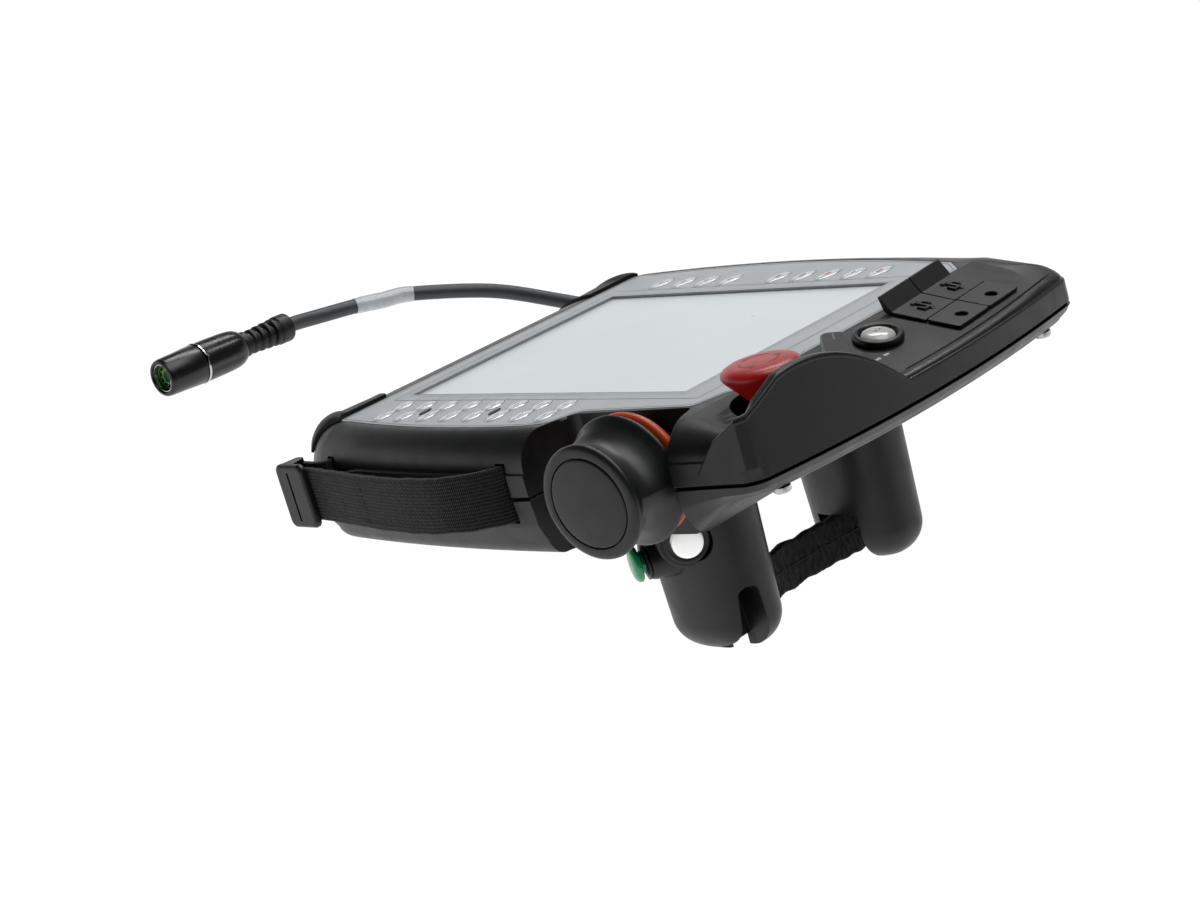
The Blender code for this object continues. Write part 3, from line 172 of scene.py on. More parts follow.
def finish(name, colour, roughness, grain=None, worn=None, soft=None, edge=None, **sockets):
    """A surface. grain is (pattern mm, height mm), worn is (second colour, pattern mm, share),
    soft is (pattern mm, roughness spread) and edge is the radius in mm of its moulded edges."""
    material = bpy.data.materials.new(name)
    material.use_nodes = True
    tree = material.node_tree
    shader = tree.nodes["Principled BSDF"]
    shader.inputs["Base Color"].default_value = tint(colour)
    shader.inputs["Roughness"].default_value = roughness
    for key, value in sockets.items():
        shader.inputs[key.replace("_", " ")].default_value = value
    material.diffuse_color = tint(colour)
    place = add(tree, "TexCoord").outputs["Object"]
    normal = {}
    if edge:
        normal["Normal"] = add(tree, "Bevel", {"samples": 4}, Radius=edge * MM).outputs["Normal"]
    if grain:
        pattern = add(tree, "TexNoise", None, Vector=place, Scale=period(grain[0]), Detail=3.0, Roughness=0.6)
        normal["Normal"] = add(
            tree, "Bump", None, Height=pattern.outputs["Fac"], Strength=1.0, Distance=grain[1] * MM, **normal
        ).outputs["Normal"]
    if normal:
        tree.links.new(normal["Normal"], shader.inputs["Normal"])
    if worn:
        patches = add(tree, "TexNoise", None, Vector=place, Scale=period(worn[1]), Detail=4.0, Roughness=0.55)
        stops = ((0.5 - worn[2] / 2, colour), (0.5 + worn[2] / 2, worn[0]))
        ramp = add(tree, "ValToRGB", None, stops, Fac=patches.outputs["Fac"])
        tree.links.new(ramp.outputs["Color"], shader.inputs["Base Color"])
    if soft:
        patches = add(tree, "TexNoise", None, Vector=place, Scale=period(soft[0]), Detail=2.0)
        spread = add(
            tree, "MapRange", None, Value=patches.outputs["Fac"], From_Min=0.3, From_Max=0.7,
            To_Min=roughness - soft[1], To_Max=roughness + soft[1],
        )
        tree.links.new(spread.outputs["Result"], shader.inputs["Roughness"])
    return material


def woven(name, colour, high_colour, rib, pick, height, roughness):
    """Webbing with a rib every so many mm across it and a pick every so many mm along it.
    The pattern follows the webbing's own length and width, kept in its UV map in metres."""
    material = finish(name, colour, roughness, Sheen_Weight=0.25, Sheen_Roughness=0.5, Specular_IOR_Level=0.15)
    tree = material.node_tree
    shader = tree.nodes["Principled BSDF"]
    place = add(tree, "TexCoord").outputs["UV"]
    wobble = add(tree, "TexNoise", None, Vector=place, Scale=period(2.2), Detail=2.0)
    ribs, picks = [
        add(tree, "TexWave", {"bands_direction": way, "wave_profile": "SIN"}, Vector=place,
            Scale=period(size) / WAVE_PERIOD, Distortion=bend, Detail=1.0).outputs["Fac"]
        for way, size, bend in (("Y", rib, 0.5), ("X", pick, 0.8))
    ]
    weave = add(tree, "Mix", {"data_type": "FLOAT"}, Factor=0.42, A=ribs, B=picks).outputs["Result"]
    bump = add(tree, "Bump", None, Height=weave, Strength=1.0, Distance=height * MM)
    fuzz = add(
        tree, "Bump", None, Height=wobble.outputs["Fac"], Strength=0.7, Distance=height * MM,
        Normal=bump.outputs["Normal"],
    )
    tree.links.new(fuzz.outputs["Normal"], shader.inputs["Normal"])
    ramp = add(tree, "ValToRGB", None, ((0.25, colour), (0.85, high_colour)), Fac=weave)
    tree.links.new(ramp.outputs["Color"], shader.inputs["Base Color"])
    return material


# A wave texture at scale 1 repeats this many times in a metre.
WAVE_PERIOD = 3.1832
LOW_GLOSS = {"Specular_IOR_Level": 0.42}
# Glass-filled polyamide from a spark-eroded mould: near-black, a fine matt grain, softly rounded edges.
HOUSING = finish("polyamide_moulded_spark_eroded", "#0d0e0f", 0.4, (0.5, 0.012), ("#111213", 30.0, 0.7),
                 (9.0, 0.05), 0.45, **LOW_GLOSS)
# The same polymer from a finer tool, on knobs and small fittings: a little smoother, with a clearer highlight.
FITTING = finish("polyamide_moulded_fine", "#101011", 0.36, (0.35, 0.01), None, (5.0, 0.04), 0.3, **LOW_GLOSS)
# Nitrile cord in the joint line: dull and deep black.
SEAL = finish("nitrile_rubber_moulded", "#070707", 0.85, (0.4, 0.02), Specular_IOR_Level=0.1)
# Polyester keypad film with a matt lacquer: cool mid grey, soft sheen, faint mottling.
FILM = finish("polyester_film_screen_printed", "#a6aaad", 0.4, (0.5, 0.004), ("#acb0b3", 24.0, 0.6), (14.0, 0.05),
              Metallic=0.2)
# The film's border round the screen, drawn flat a shade darker than the film: painted shade where the raised film
# bends down to the glass.
FILM_STEP_SHADE = finish("polyester_film_edge_painted_shade", "#9b9fa2", 0.4, (0.5, 0.006), None, (12.0, 0.05))
# Charcoal ink of the film's outline, and a painted shadow of its formed step.
PRINT_DARK = finish("screen_ink_charcoal", "#2b2d2f", 0.5, (0.5, 0.004))
PRINT_GREY = finish("screen_ink_mid_grey", "#5d6164", 0.5, (0.5, 0.004))
# Pale inks: leader lines from the keys, and small marks that give each group of keys its colour.
PRINT_LIGHT = finish("screen_ink_pale_grey", "#a9adaf", 0.45, (0.5, 0.004))
PRINT_GREEN = finish("screen_ink_green", "#4e8f66", 0.45, (0.5, 0.004))
PRINT_RED = finish("screen_ink_red", "#a8544c", 0.45, (0.5, 0.004))
# Embossed key caps printed in pearl ink: lighter than the film and with a satin glint.
PEARL = finish("pearl_ink_on_embossed_film", "#c3c7c9", 0.3, (0.4, 0.005), None, (4.0, 0.06), Metallic=0.25,
               Coat_Weight=0.25)
# Toughened glass over a white panel: pale blue-grey with an even, soft gloss, and a faint painted glow that lifts
# its brightness.
GLASS = finish("toughened_glass_etched", "#c4ccd0", 0.3, (0.3, 0.002), ("#c8d0d3", 60.0, 0.8), (40.0, 0.03),
               Coat_Weight=0.2, Coat_Roughness=0.25, Emission_Color=tint("#dfe6e9"), Emission_Strength=0.06)
# Zinc-plated sheet of the display's back: dull silver with a faint blue spangle.
PANEL = finish("zinc_plated_sheet_pressed", "#8f9396", 0.4, (0.8, 0.01), ("#a3a7aa", 6.0, 0.5), Metallic=0.9)
# Glass-epoxy board under solder resist: deep green with a wet gloss.
BOARD = finish("glass_epoxy_solder_resist", "#1d5a33", 0.3, (0.6, 0.01), ("#17492a", 8.0, 0.4))
# Thermoplastic elastomer bumper: matt, slightly chalky black.
BUMPER = finish("elastomer_moulded_matt", "#101011", 0.5, (0.6, 0.02), ("#171718", 6.0, 0.6), None, 0.3,
                **LOW_GLOSS)
# Stainless steel turned and passivated: bright, with fine streaks in its shine.
STEEL = finish("stainless_steel_turned", "#b9babb", 0.28, (0.3, 0.004), None, (1.5, 0.08), 0.15, Metallic=1.0)
PIN_PLASTIC = finish("acetal_turned_ivory", "#b7b3a2", 0.4, (0.5, 0.005))
# Red polycarbonate mushroom: saturated, with a soft gloss that goes pale at grazing angles, and a faint painted red
# glow though it is no lamp.
RED = finish("polycarbonate_moulded_red", "#8c0c0e", 0.38, (0.8, 0.004), ("#941012", 9.0, 0.6), (6.0, 0.04), 0.4,
             Coat_Weight=0.05, Coat_Roughness=0.3, Emission_Color=tint("#ff2a20"), Emission_Strength=0.05)
RED_MARK = finish("pad_print_dull_red", "#8d1b1c", 0.5, (0.4, 0.004))
# Key caps: pearl grey, white and green polycarbonate with a moulded gloss; the white caps also glow with painted
# light, though they are no lamps.
KEY_GREY = finish("polycarbonate_moulded_pearl_grey", "#b0b1ad", 0.24, (1.0, 0.006), None, (3.0, 0.04), 0.3,
                  Coat_Weight=0.3)
KEY_WHITE_PAINTED_GLOW = finish("polycarbonate_moulded_white", "#f6f6f4", 0.22, (1.0, 0.004), ("#f1f1ef", 5.0, 0.5), None, 0.4,
                   Coat_Weight=0.4, Coat_Roughness=0.1, Emission_Color=tint("#ffffff"), Emission_Strength=0.42)
KEY_GREEN = finish("polycarbonate_moulded_green", "#0c9a5e", 0.3, (1.0, 0.006), None, (3.0, 0.05), 0.3,
                   Coat_Weight=0.3)
# Silicone port covers: dull black with a dusty lighter bloom.
COVER_RUBBER = finish("silicone_moulded_black", "#0e0e0f", 0.5, (0.5, 0.015), ("#151516", 5.0, 0.6), None, 0.35,
                      **LOW_GLOSS)
ORANGE = finish("polyamide_moulded_burnt_orange", "#b23c0c", 0.42, (0.5, 0.012), ("#bd430f", 12.0, 0.7), None, 0.4)
# Soft-touch lacquer on the mouse knob: charcoal with a broad, milky highlight.
KNOB = finish("soft_touch_lacquer_charcoal", "#141517", 0.42, (0.4, 0.006), None, (8.0, 0.05), 0.35,
              Specular_IOR_Level=0.45)
# Polyurethane jacket: grey-black, lighter than the housing, with the drawn surface of an extrusion.
CABLE = finish("polyurethane_extruded_grey_black", "#323539", 0.45, (1.2, 0.015), ("#3a3d41", 10.0, 0.6))
# Clear heat-shrink film over a grey carrier: milky, with long wet streaks of light.
SLEEVE = finish("heat_shrink_film_translucent", "#b6babd", 0.28, (2.4, 0.02), ("#c4c8cb", 5.0, 0.5), (2.0, 0.08),
                Coat_Weight=0.5, Coat_Roughness=0.08)
PLUG = finish("polyamide_moulded_glossy", "#0c0c0d", 0.3, (0.5, 0.002), None, (6.0, 0.05), 0.3,
              Specular_IOR_Level=0.45)
BOOT = finish("elastomer_boot_moulded", "#0f0f10", 0.45, (0.5, 0.004), None, (4.0, 0.05), 0.25, **LOW_GLOSS)
CHROME = finish("brass_nickel_plated", "#c9c9c6", 0.2, (0.4, 0.003), None, (1.5, 0.06), Metallic=1.0)
GOLD = finish("brass_gold_flashed", "#d9b25a", 0.25, (0.3, 0.003), None, (1.0, 0.05), Metallic=1.0)
INSERT = finish("polyamide_insert_green", "#5f9a5c", 0.4, (0.4, 0.006))
INSERT_DARK = finish("polyamide_insert_dark_green", "#0b4a1c", 0.45, (0.4, 0.006))
# Polyester webbing, woven with a rib: dull black with a light fuzz.
WEBBING = woven("polyester_webbing_woven", "#030304", "#1f2021", 1.5, 0.9, 0.45, 0.85)
# Spun thread of the seams: a shade lighter than the webbing, so the stitches read as dashes.
THREAD = finish("polyester_thread_twisted", "#0a0a0b", 0.7, (0.3, 0.03), Sheen_Weight=0.3)
# Loop pile of a hook-and-loop strap: the deepest black, with a soft halo and no highlight.
VELOUR = finish("nylon_loop_pile_knitted", "#0a0a0b", 0.95, (0.7, 0.35), ("#151516", 3.0, 0.7), Sheen_Weight=0.35,
                Specular_IOR_Level=0.05)

SLOT_LOOK = {
    "housing_plastic": HOUSING, "gasket_rubber": SEAL, "membrane_film": FILM, "screen_glass": GLASS,
    "display_housing": PANEL, "circuit_board": BOARD, "guard_rubber": BUMPER, "screw_steel": STEEL,
    "control_plastic": FITTING, "stem_plastic": PIN_PLASTIC, "stop_red": RED, "key_grey": KEY_GREY,
    "key_white": KEY_WHITE_PAINTED_GLOW, "key_green": KEY_GREEN, "cover_rubber": COVER_RUBBER, "socket_steel": STEEL,
    "ring_orange": ORANGE, "knob_rubber": KNOB, "gimbal_steel": STEEL, "loop_velour": VELOUR,
    "strap_webbing": WEBBING, "buckle_plastic": FITTING, "cable_jacket": CABLE, "sleeve_film": SLEEVE,
    "connector_plastic": PLUG, "connector_chrome": CHROME, "insert_green": INSERT_DARK,
}


# ---------------------------------------------------------------- making pieces
def smoothed(mesh, angle=35):
    mesh.shade_smooth()
    mesh.set_sharp_from_angle(angle=math.radians(angle))


def solid(name, points, faces, look, body="pendant", place=PENDANT, angle=35):
    """A mesh from points in mm and faces, placed in the row frame and riding on a body."""
    mesh = bpy.data.meshes.new(name)
    builder = bmesh.new()
    verts = [builder.verts.new(place @ Vector(point)) for point in points]
    for face in faces:
        builder.faces.new([verts[i] for i in face])
    bmesh.ops.recalc_face_normals(builder, faces=builder.faces)
    builder.to_mesh(mesh)
    builder.free()
    smoothed(mesh, angle)
    item = bpy.data.objects.new(name, mesh)
    bpy.context.scene.collection.objects.link(item)
    if look is not None:
        mesh.materials.append(look)
    if body is not None:
        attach(item, body)
    return item


def skins(stacks, caps):
    """Points and faces of stacks of rings. Each stack is closed round, and capped at these rings of it."""
    points, faces = [], []
    for rings in stacks:
        base, count = len(points), len(rings[0])
        points += [point for ring in rings for point in ring]
        for a in range(base, len(points) - count, count):
            b = a + count
            faces += [(a + j, a + (j + 1) % count, b + (j + 1) % count, b + j) for j in range(count)]
        faces += [tuple(base + (cap % len(rings)) * count + j for j in range(count)) for cap in caps]
    return points, faces


def loft(name, rings, look, body="pendant", place=PENDANT, closed=False, ladder=False, angle=35):
    """Skin over rings with equal numbers of points. ladder closes curved ends strip by strip."""
    count, half = len(rings[0]), len(rings[0]) // 2
    points, faces = skins([rings], () if closed or ladder else (0, -1))
    last = len(points) - count
    if closed:
        faces += [(last + j, last + (j + 1) % count, (j + 1) % count, j) for j in range(count)]
    if ladder:
        for base in (0, last):
            for j in range(half - 1):
                mirror = count - 1 - j
                faces.append((base + j, base + j + 1, base + mirror - 1, base + mirror))
            faces.append((base + half - 1, base + half, base + half + 1))
    return solid(name, points, faces, look, body, place, angle)


def angles(count):
    return [2 * math.pi * i / count for i in range(count)]


def circle(radius, height, segments):
    """A ring of points. Its radius and its height are numbers, or functions of the angle."""
    ring = []
    for a in angles(segments):
        r, z = [size(a) if callable(size) else size for size in (radius, height)]
        ring.append((r * math.cos(a), r * math.sin(a), z))
    return ring


def lathe(name, profile, look, body="pendant", place=PENDANT, segments=96, closed=False):
    """A turned shape from its (radius, height) profile."""
    return loft(name, [circle(*row, segments) for row in profile], look, body, place, closed)


def prism(name, outline, low, high, look, body="pendant", place=PENDANT):
    return loft(name, [[(x, y, z) for x, y in outline] for z in (low, high)], look, body, place)


def box(name, low, high, look, body="pendant", place=PENDANT):
    return prism(name, rectangle(low[0], low[1], high[0], high[1]), low[2], high[2], look, body, place)


def rectangle(left, bottom, right, top):
    return [(left, bottom), (right, bottom), (right, top), (left, top)]


def tool(kind, *shape, **how):
    """A cutter or a piece to join: it rides on nothing, because carve() uses it up."""
    return kind("tool", *shape, look=None, body=None, **how)


def stand(at, axis=(0, 0, 1), roll=0.0, base=PENDANT):
    """Frame of a turned piece: its own Z along an axis, in mm."""
    turn = Vector(axis).to_track_quat("Z", "Y").to_matrix().to_4x4()
    return base @ Matrix.Translation(Vector(at)) @ turn @ Matrix.Rotation(roll, 4, "Z")


def bored(profile, at, axis=(0, 0, 1)):
    """A turned cutter or joined piece, standing on an axis of the pendant."""
    return tool(lathe, profile, place=stand(at, axis))


def carve(item, steps, angle=35):
    """Cuts and joins in turn, as (operation, tool), kept as the item's own mesh."""
    for operation, piece in steps:
        step = item.modifiers.new(piece.name, "BOOLEAN")
        step.operation = operation
        step.object = piece
        step.solver = "EXACT"
    graph = bpy.context.evaluated_depsgraph_get()
    mesh = bpy.data.meshes.new_from_object(item.evaluated_get(graph))
    item.modifiers.clear()
    item.data = mesh
    for piece in {piece for _, piece in steps}:
        bpy.data.objects.remove(piece)
    smoothed(mesh, angle)
    even = item.modifiers.new("even", "WEIGHTED_NORMAL")
    even.keep_sharp = True
    even.weight = 60
    return item


def cuts(*tools):
    return [("DIFFERENCE", piece) for piece in tools]


def joins(*tools):
    return [("UNION", piece) for piece in tools]


def edged(item, width):
    """Small moulded radius on the sharp edges."""
    step = item.modifiers.new("edges", "BEVEL")
    step.width = width * MM
    step.segments = 2
    step.limit_method = "ANGLE"
    step.angle_limit = math.radians(38)
    step.harden_normals = True
    step.miter_outer = "MITER_ARC"
    return item


def stands_for(item, node):
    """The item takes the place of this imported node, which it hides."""
    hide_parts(node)
    return finished_as(item)


def finished_as(item):
    """A fine detail that rides where it was put."""
    return item


def turned(node, name, *shape, **how):
    """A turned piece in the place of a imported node."""
    return stands_for(lathe(name, *shape, **how), node)


def conic(start, control, end, steps):
    """Round arc that leaves both legs of a corner smoothly."""
    points = []
    for i in range(steps + 1):
        t = i / steps
        w = math.sqrt(0.5) * 2 * t * (1 - t)
        total = (1 - t) ** 2 + w + t * t
        points.append(tuple(((1 - t) ** 2 * a + w * b + t * t * c) / total for a, b, c in zip(start, control, end)))
    return points


def rounded(corners, radius, steps=8):
    """A closed outline with each corner (x, y) or (x, y, own radius) rounded off."""
    outline = []
    for i, corner in enumerate(corners):
        here, before = Vector(corner[:2]), Vector(corners[i - 1][:2])
        after = Vector(corners[(i + 1) % len(corners)][:2])
        size = corner[2] if len(corner) > 2 else radius
        if size <= 0:
            outline.append(tuple(here))
            continue
        back, on = (before - here).normalized(), (after - here).normalized()
        reach = size / math.tan(back.angle(on) / 2)
        outline += conic(here + back * reach, here, here + on * reach, steps)
    return outline


def oval(half_long, half_wide, count, power=2.0):
    points = []
    for a in angles(count):
        c, s = math.cos(a), math.sin(a)
        points.append((half_long * math.copysign(abs(c) ** (2 / power), c),
                       half_wide * math.copysign(abs(s) ** (2 / power), s)))
    return points


def oval_at(x, y, turn, half_long, half_wide):
    """A key's oval, turned and set in its place on the film."""
    c, s = math.cos(turn), math.sin(turn)
    return [(x + c * px - s * py, y + s * px + c * py) for px, py in oval(half_long, half_wide, 32)]


def smooth_path(points, steps):
    """Even curve through the given points, with steps points per stretch."""
    points = [Vector(point) for point in points]
    ends = [points[0] * 2 - points[1]] + points + [points[-1] * 2 - points[-2]]
    curve = []
    for i in range(1, len(ends) - 2):
        p0, p1, p2, p3 = ends[i - 1 : i + 3]
        for k in range(steps):
            t = k / steps
            cubic = (3 * p1 - p0 - 3 * p2 + p3) * t**3
            curve.append(0.5 * (2 * p1 + (p2 - p0) * t + (2 * p0 - 5 * p1 + 4 * p2 - p3) * t * t + cubic))
    return curve + [points[-1]]


def ahead_of(path, i):
    """Direction of a path at one of its points, not normalised."""
    return path[min(i + 1, len(path) - 1)] - path[max(i - 1, 0)]


def eased(t):
    t = min(1.0, max(0.0, t))
    return t * t * (3 - 2 * t)


def ribbons(name, lines, width, height, look, place=PENDANT, body="pendant"):
    """Printed lines: each polyline of (x, y) or (x, y, z) drawn as a thin raised ribbon."""
    points, faces = [], []
    for line in lines:
        line = [Vector((*p, height)) if len(p) == 2 else Vector(p) for p in line]
        base = len(points)
        for i, point in enumerate(line):
            ahead = ahead_of(line, i)
            side = Vector((-ahead.y, ahead.x, 0.0)).normalized() * width / 2
            points += [point + side, point - side]
        faces += [(a, a + 1, a + 3, a + 2) for a in range(base, len(points) - 2, 2)]
    return finished_as(solid(name, points, faces, look, body, place))


# ---------------------------------------------------------------- camera, floor and light
def make_camera():
    """Long lens from the upper right corner of the pendant, looking down over its console."""
    data = bpy.data.cameras.new("camera")
    data.lens = 77.45
    data.sensor_width = 36.0
    data.clip_end = 20.0
    camera = bpy.data.objects.new("camera", data)
    camera.location = (0.7185, 0.6305, 0.62347)
    camera.rotation_euler = [math.radians(a) for a in (58.7462, -0.2737, 133.395)]
    bpy.context.scene.collection.objects.link(camera)
    bpy.context.scene.camera = camera


def make_light(name, at, target, size, power):
    data = bpy.data.lights.new(name, "AREA")
    data.shape = "RECTANGLE"
    data.size, data.size_y = size
    data.energy = power
    lamp = bpy.data.objects.new(name, data)
    lamp.location = at
    lamp.rotation_mode = "QUATERNION"
    lamp.rotation_quaternion = (Vector(target) - Vector(at)).to_track_quat("-Z", "Y")
    bpy.context.scene.collection.objects.link(lamp)


def make_studio():
    """Light table lit from below, a bright low horizon, a broad overhead panel and a strip behind."""
    sheet = finish("opal_acrylic_sheet_lit", "#4a4a4a", 0.9, (2.0, 0.01), Specular_IOR_Level=0.0,
                   Emission_Color=tint("#ffffff"), Emission_Strength=1.0)
    corners = [(x, y, 0) for x, y in rectangle(-FLOOR_REACH, -FLOOR_REACH, FLOOR_REACH, FLOOR_REACH)]
    solid("studio_floor", corners, [(0, 1, 2, 3)], sheet, None, ROW)
    world = bpy.data.worlds.new("studio")
    world.use_nodes = True
    tree = world.node_tree
    towards = add(tree, "SeparateXYZ", None, Vector=add(tree, "TexCoord").outputs["Generated"])
    for axis, start, end, low, high, socket in (("Z", 0.02, 0.23, "#ffffff", "#434446", "Strength"),
                                                ("X", -0.2, 0.4, "#f4f6f7", "#3c3e40", "Color")):
        share = add(tree, "MapRange", None, Value=towards.outputs[axis], From_Min=start, From_Max=end)
        ramp = add(tree, "ValToRGB", None, ((0.0, low), (1.0, high)), Fac=share.outputs["Result"])
        tree.links.new(ramp.outputs["Color"], tree.nodes["Background"].inputs[socket])
    scene = bpy.context.scene
    scene.world = world
    make_light("overhead_panel", (-0.35, 0.1, 1.7), (0, 0, 0), (1.5, 1.3), 22.0)
    make_light("rear_strip", (-1.2, -1.1, 1.5), (0, 0, 0.1), (1.2, 0.35), 16.0)
    scene.view_settings.view_transform = "Standard"
    scene.view_settings.look = "None"


make_camera()


# ---------------------------------------------------------------- cable and what is on it
def make_cable():
    """Cable from the gland, round the left side and along the floor to the connector's boot."""
    boot_end = PLUG_FRONT - PLUG_AXIS * PLUG_LONG
    start = Vector((-62.0, -31.8396, 16.6834))
    route = [
        start, start + Vector((-7, 0, 0)), start + Vector((-15, 0, 0)), (-90, -34.5, 14.5), (-107, -44, 7),
        (-123, -70, 3.9), (-133, -108, 3.9), (-129, -143, 3.9), (-119.8, -168.8, 3.9), (-103.1, -201.1, 4.0),
        (-72.4, -227.3, 4.5), SLEEVE_AT, (-41.7, -237.9, 4.9), (-20, -241.6, 5.9),
        boot_end - PLUG_AXIS * 6, boot_end,
    ]
    points = smooth_path(route, 8)
    data = bpy.data.curves.new("cable_jacket", "CURVE")
    data.dimensions = "3D"
    data.bevel_depth = CABLE_R * MM
    data.bevel_resolution = 10
    data.use_fill_caps = True
    spline = data.splines.new("POLY")
    spline.points.add(len(points) - 1)
    for spot, point in zip(spline.points, points):
        spot.co = (*(ROW @ point), 1.0)
    spline.use_smooth = True
    data.materials.append(CABLE)
    cable = bpy.data.objects.new("cable_jacket", data)
    bpy.context.scene.collection.objects.link(cable)
    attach(cable, "pendant")
    return stands_for(cable, "cable"), points


def make_sleeve(path):
    """Blank label sleeve shrunk on the cable, with the flattened seam and puckers of heat-shrink film."""
    centre = min(range(len(path)), key=lambda i: (path[i] - SLEEVE_AT).length)
    spine = path[centre - 8 : centre + 9]

    def outer(i, a):
        pucker = noise.noise(Vector((i * 0.35, 3 * math.cos(a), 3 * math.sin(a)))) * 0.12
        fin = 0.35 * max(0.0, 1 - abs(a - 1.9) / 0.16)
        lip = 0.25 * max(0.0, 1 - min(i, len(spine) - 1 - i) / 1.5)
        return CABLE_R + 0.45 + pucker + fin - lip

    rings = []
    for radius_at, order in ((outer, 1), (lambda i, a: CABLE_R + 0.05, -1)):
        rows = []
        for i, point in enumerate(spine):
            along = ahead_of(spine, i).normalized()
            side = along.cross(Vector((0, 0, 1))).normalized()
            up = side.cross(along)
            rows.append([point + (side * math.cos(a) + up * math.sin(a)) * radius_at(i, a) for a in angles(48)])
        rings += rows[::order]
    return stands_for(loft("cable_sleeve_film", rings, SLEEVE, place=ROW, closed=True), "cable_sleeve")


def make_plug():
    """Round connector: bore with a split silver sleeve, contact insert, kinked ring, fluted body, ribbed boot."""
    seat = stand(PLUG_FRONT, -PLUG_AXIS, 0.0, ROW)
    where = ("pendant", seat)
    barrel = turned(
        "connector_barrel", "plug_barrel",
        [(8.0, 0.0), (8.7, 0.25), (9.15, 1.0), (9.35, 2.4), (9.6, 11.0), (10.0, 20.9), (9.8, 21.6), (6.9, 21.6),
         (6.9, 2.4), (7.15, 0.5), (7.5, 0.0)], PLUG, *where, closed=True,
    )
    rows = ((10.15, 21.9), (10.4, 22.15), (10.4, 22.9), (10.15, 23.1), (7.0, 23.1), (7.0, 21.9))
    kinked = [circle(r, lambda a: z + 1.1 * max(0.0, 1 - abs(a - 2.4) / 0.16), 96) for r, z in rows]
    ring = loft("plug_ring", kinked, CHROME, *where, closed=True)
    rows = [(9.7, 23.2, 0), (10.05, 23.6, 0.0), (10.1, 25.0, 0.35), (10.0, 33.0, 0.5), (9.8, 40.5, 0.45),
            (9.5, 43.6, 0.3), (8.9, 46.2, 0.1), (7.9, 48.2, 0), (6.8, 49.2, 0), (6.4, 49.5, 0)]
    fluted = [circle(lambda a: r - depth * max(0.0, math.cos(6 * a)) ** 3, z, 96) for r, z, depth in rows]
    body = loft("plug_body", fluted, PLUG, *where)
    drain = tool(lathe, [(1.0, -4.0), (1.0, 4.0)], segments=24)
    drain.data.transform(seat @ stand((6.0, -7.4, 44.0), (0.6, -0.8, 0.1), 0.0, Matrix.Identity(4)))
    carve(body, cuts(drain))

    rows = [(6.2, 49.6), (6.4, 49.9), (6.4, 52.2), (6.0, 52.6)]
    for i in range(4):
        z, r = 53.4 + 4.6 * i, 6.1 + 0.25 * i
        rows += [(5.0, z), (4.9, z + 0.7), (5.0, z + 1.4), (r - 0.35, z + 1.9), (r, z + 2.4), (r, z + 3.8),
                 (r - 0.3, z + 4.2)]
    rows += [(6.9, 72.2), (7.2, 72.6), (7.2, PLUG_LONG - 1.2), (6.9, PLUG_LONG - 0.6), (6.2, PLUG_LONG - 0.3),
             (4.4, PLUG_LONG - 0.3)]
    boot = lathe("plug_boot", rows, BOOT, *where, segments=64)
    slots = []
    for i in range(4):
        for turn in (0.62, 3.76):
            slot = tool(box, (-6.0, 2.6, 52.9 + 4.6 * i), (6.0, 4.3, 54.9 + 4.6 * i))
            slot.data.transform(seat @ Matrix.Rotation(turn, 4, "Z"))
            slots.append(slot)
    carve(boot, cuts(*slots))
    insert = turned(
        "connector_insert", "plug_insert",
        [(6.6, 21.4), (6.6, 3.4), (6.3, 3.0), (5.2, 3.2), (5.1, 6.2), (3.4, 6.2), (3.3, 4.6), (3.0, 4.3)],
        INSERT_DARK, *where,
    )
    stands_for(ring, "connector_ring")
    stands_for(body, "connector_body")
    stands_for(boot, "connector_boot")

    rows = ((6.85, 0.9), (6.85, 4.0), (6.55, 4.0), (6.55, 0.9))
    arc = [[(r * math.cos(a), r * math.sin(a), z) for r, z in rows] for a in angles(96) if not 2.7 < a < 3.5]
    split = finished_as(solid("plug_split_sleeve", *skins([arc], ()), CHROME, *where))
    teeth = [[(x * (1 + i % 2 / 15.6), y * (1 + i % 2 / 15.6), z) for i, (x, y, z) in enumerate(circle(3.9, z, 48))]
             for z in (6.0, 3.7)]
    gear = loft("plug_key_ring", [*teeth, circle(3.0, 3.7, 48), circle(2.9, 4.4, 48)], INSERT, *where)
    pieces = [barrel, ring, body, boot, insert, split, finished_as(gear)]
    rows = [(0.42, 6.4), (0.42, 3.9), (0.3, 3.5), (0.1, 3.4)]
    for i, a in enumerate(angles(10)):
        spot = seat @ Matrix.Translation((4.65 * math.cos(a + 0.2), 4.65 * math.sin(a + 0.2), 0.0))
        pin = lathe(f"plug_pin_{i}", rows, GOLD, place=spot, segments=16)
        pieces.append(finished_as(pin))
    return pieces


def make_gland():
    """Ribbed, tapered strain relief where the cable leaves its cover."""
    rows = [(3.9, 0.0), (5.6, 0.0), (5.6, 3.6), (5.3, 4.2)]
    for i in range(4):
        z, r = 4.8 + 2.5 * i, 5.3 - 0.22 * i
        rows += [(r - 0.5, z), (r - 0.5, z + 0.7), (r, z + 1.0), (r, z + 2.1)]
    rows += [(4.3, 15.2), (4.1, 16.0), (3.9, 16.0)]
    return turned("cable_gland", "cable_gland_moulded", rows, BOOT, place=stand((-58.3, -58.0, -58.0), (-1, 0, 0)),
                  segments=48, closed=True)


def make_cord():
    """The cable and everything on it."""
    cable, path = make_cable()
    pieces = [make_sleeve(path), make_gland(), *make_plug()]


make_cord()


# ---------------------------------------------------------------- outline of the housing
def top_height(y):
    """Height of the front face: flat over the screen, then the sloped console."""
    return -SLOPE * max(0.0, y - SLOPE_START)


def ledge_height(y):
    """Lower end of the rounding from the front face to the side wall."""
    return -15.0 - 12.0 * eased((-70.0 - y) / 55.0) + 2.5 * eased((y - 40.0) / 70.0)


def split_height(y):
    """Joint line between the two shells."""
    return -22.5 - 7.5 * eased((135.0 - y) / 240.0)


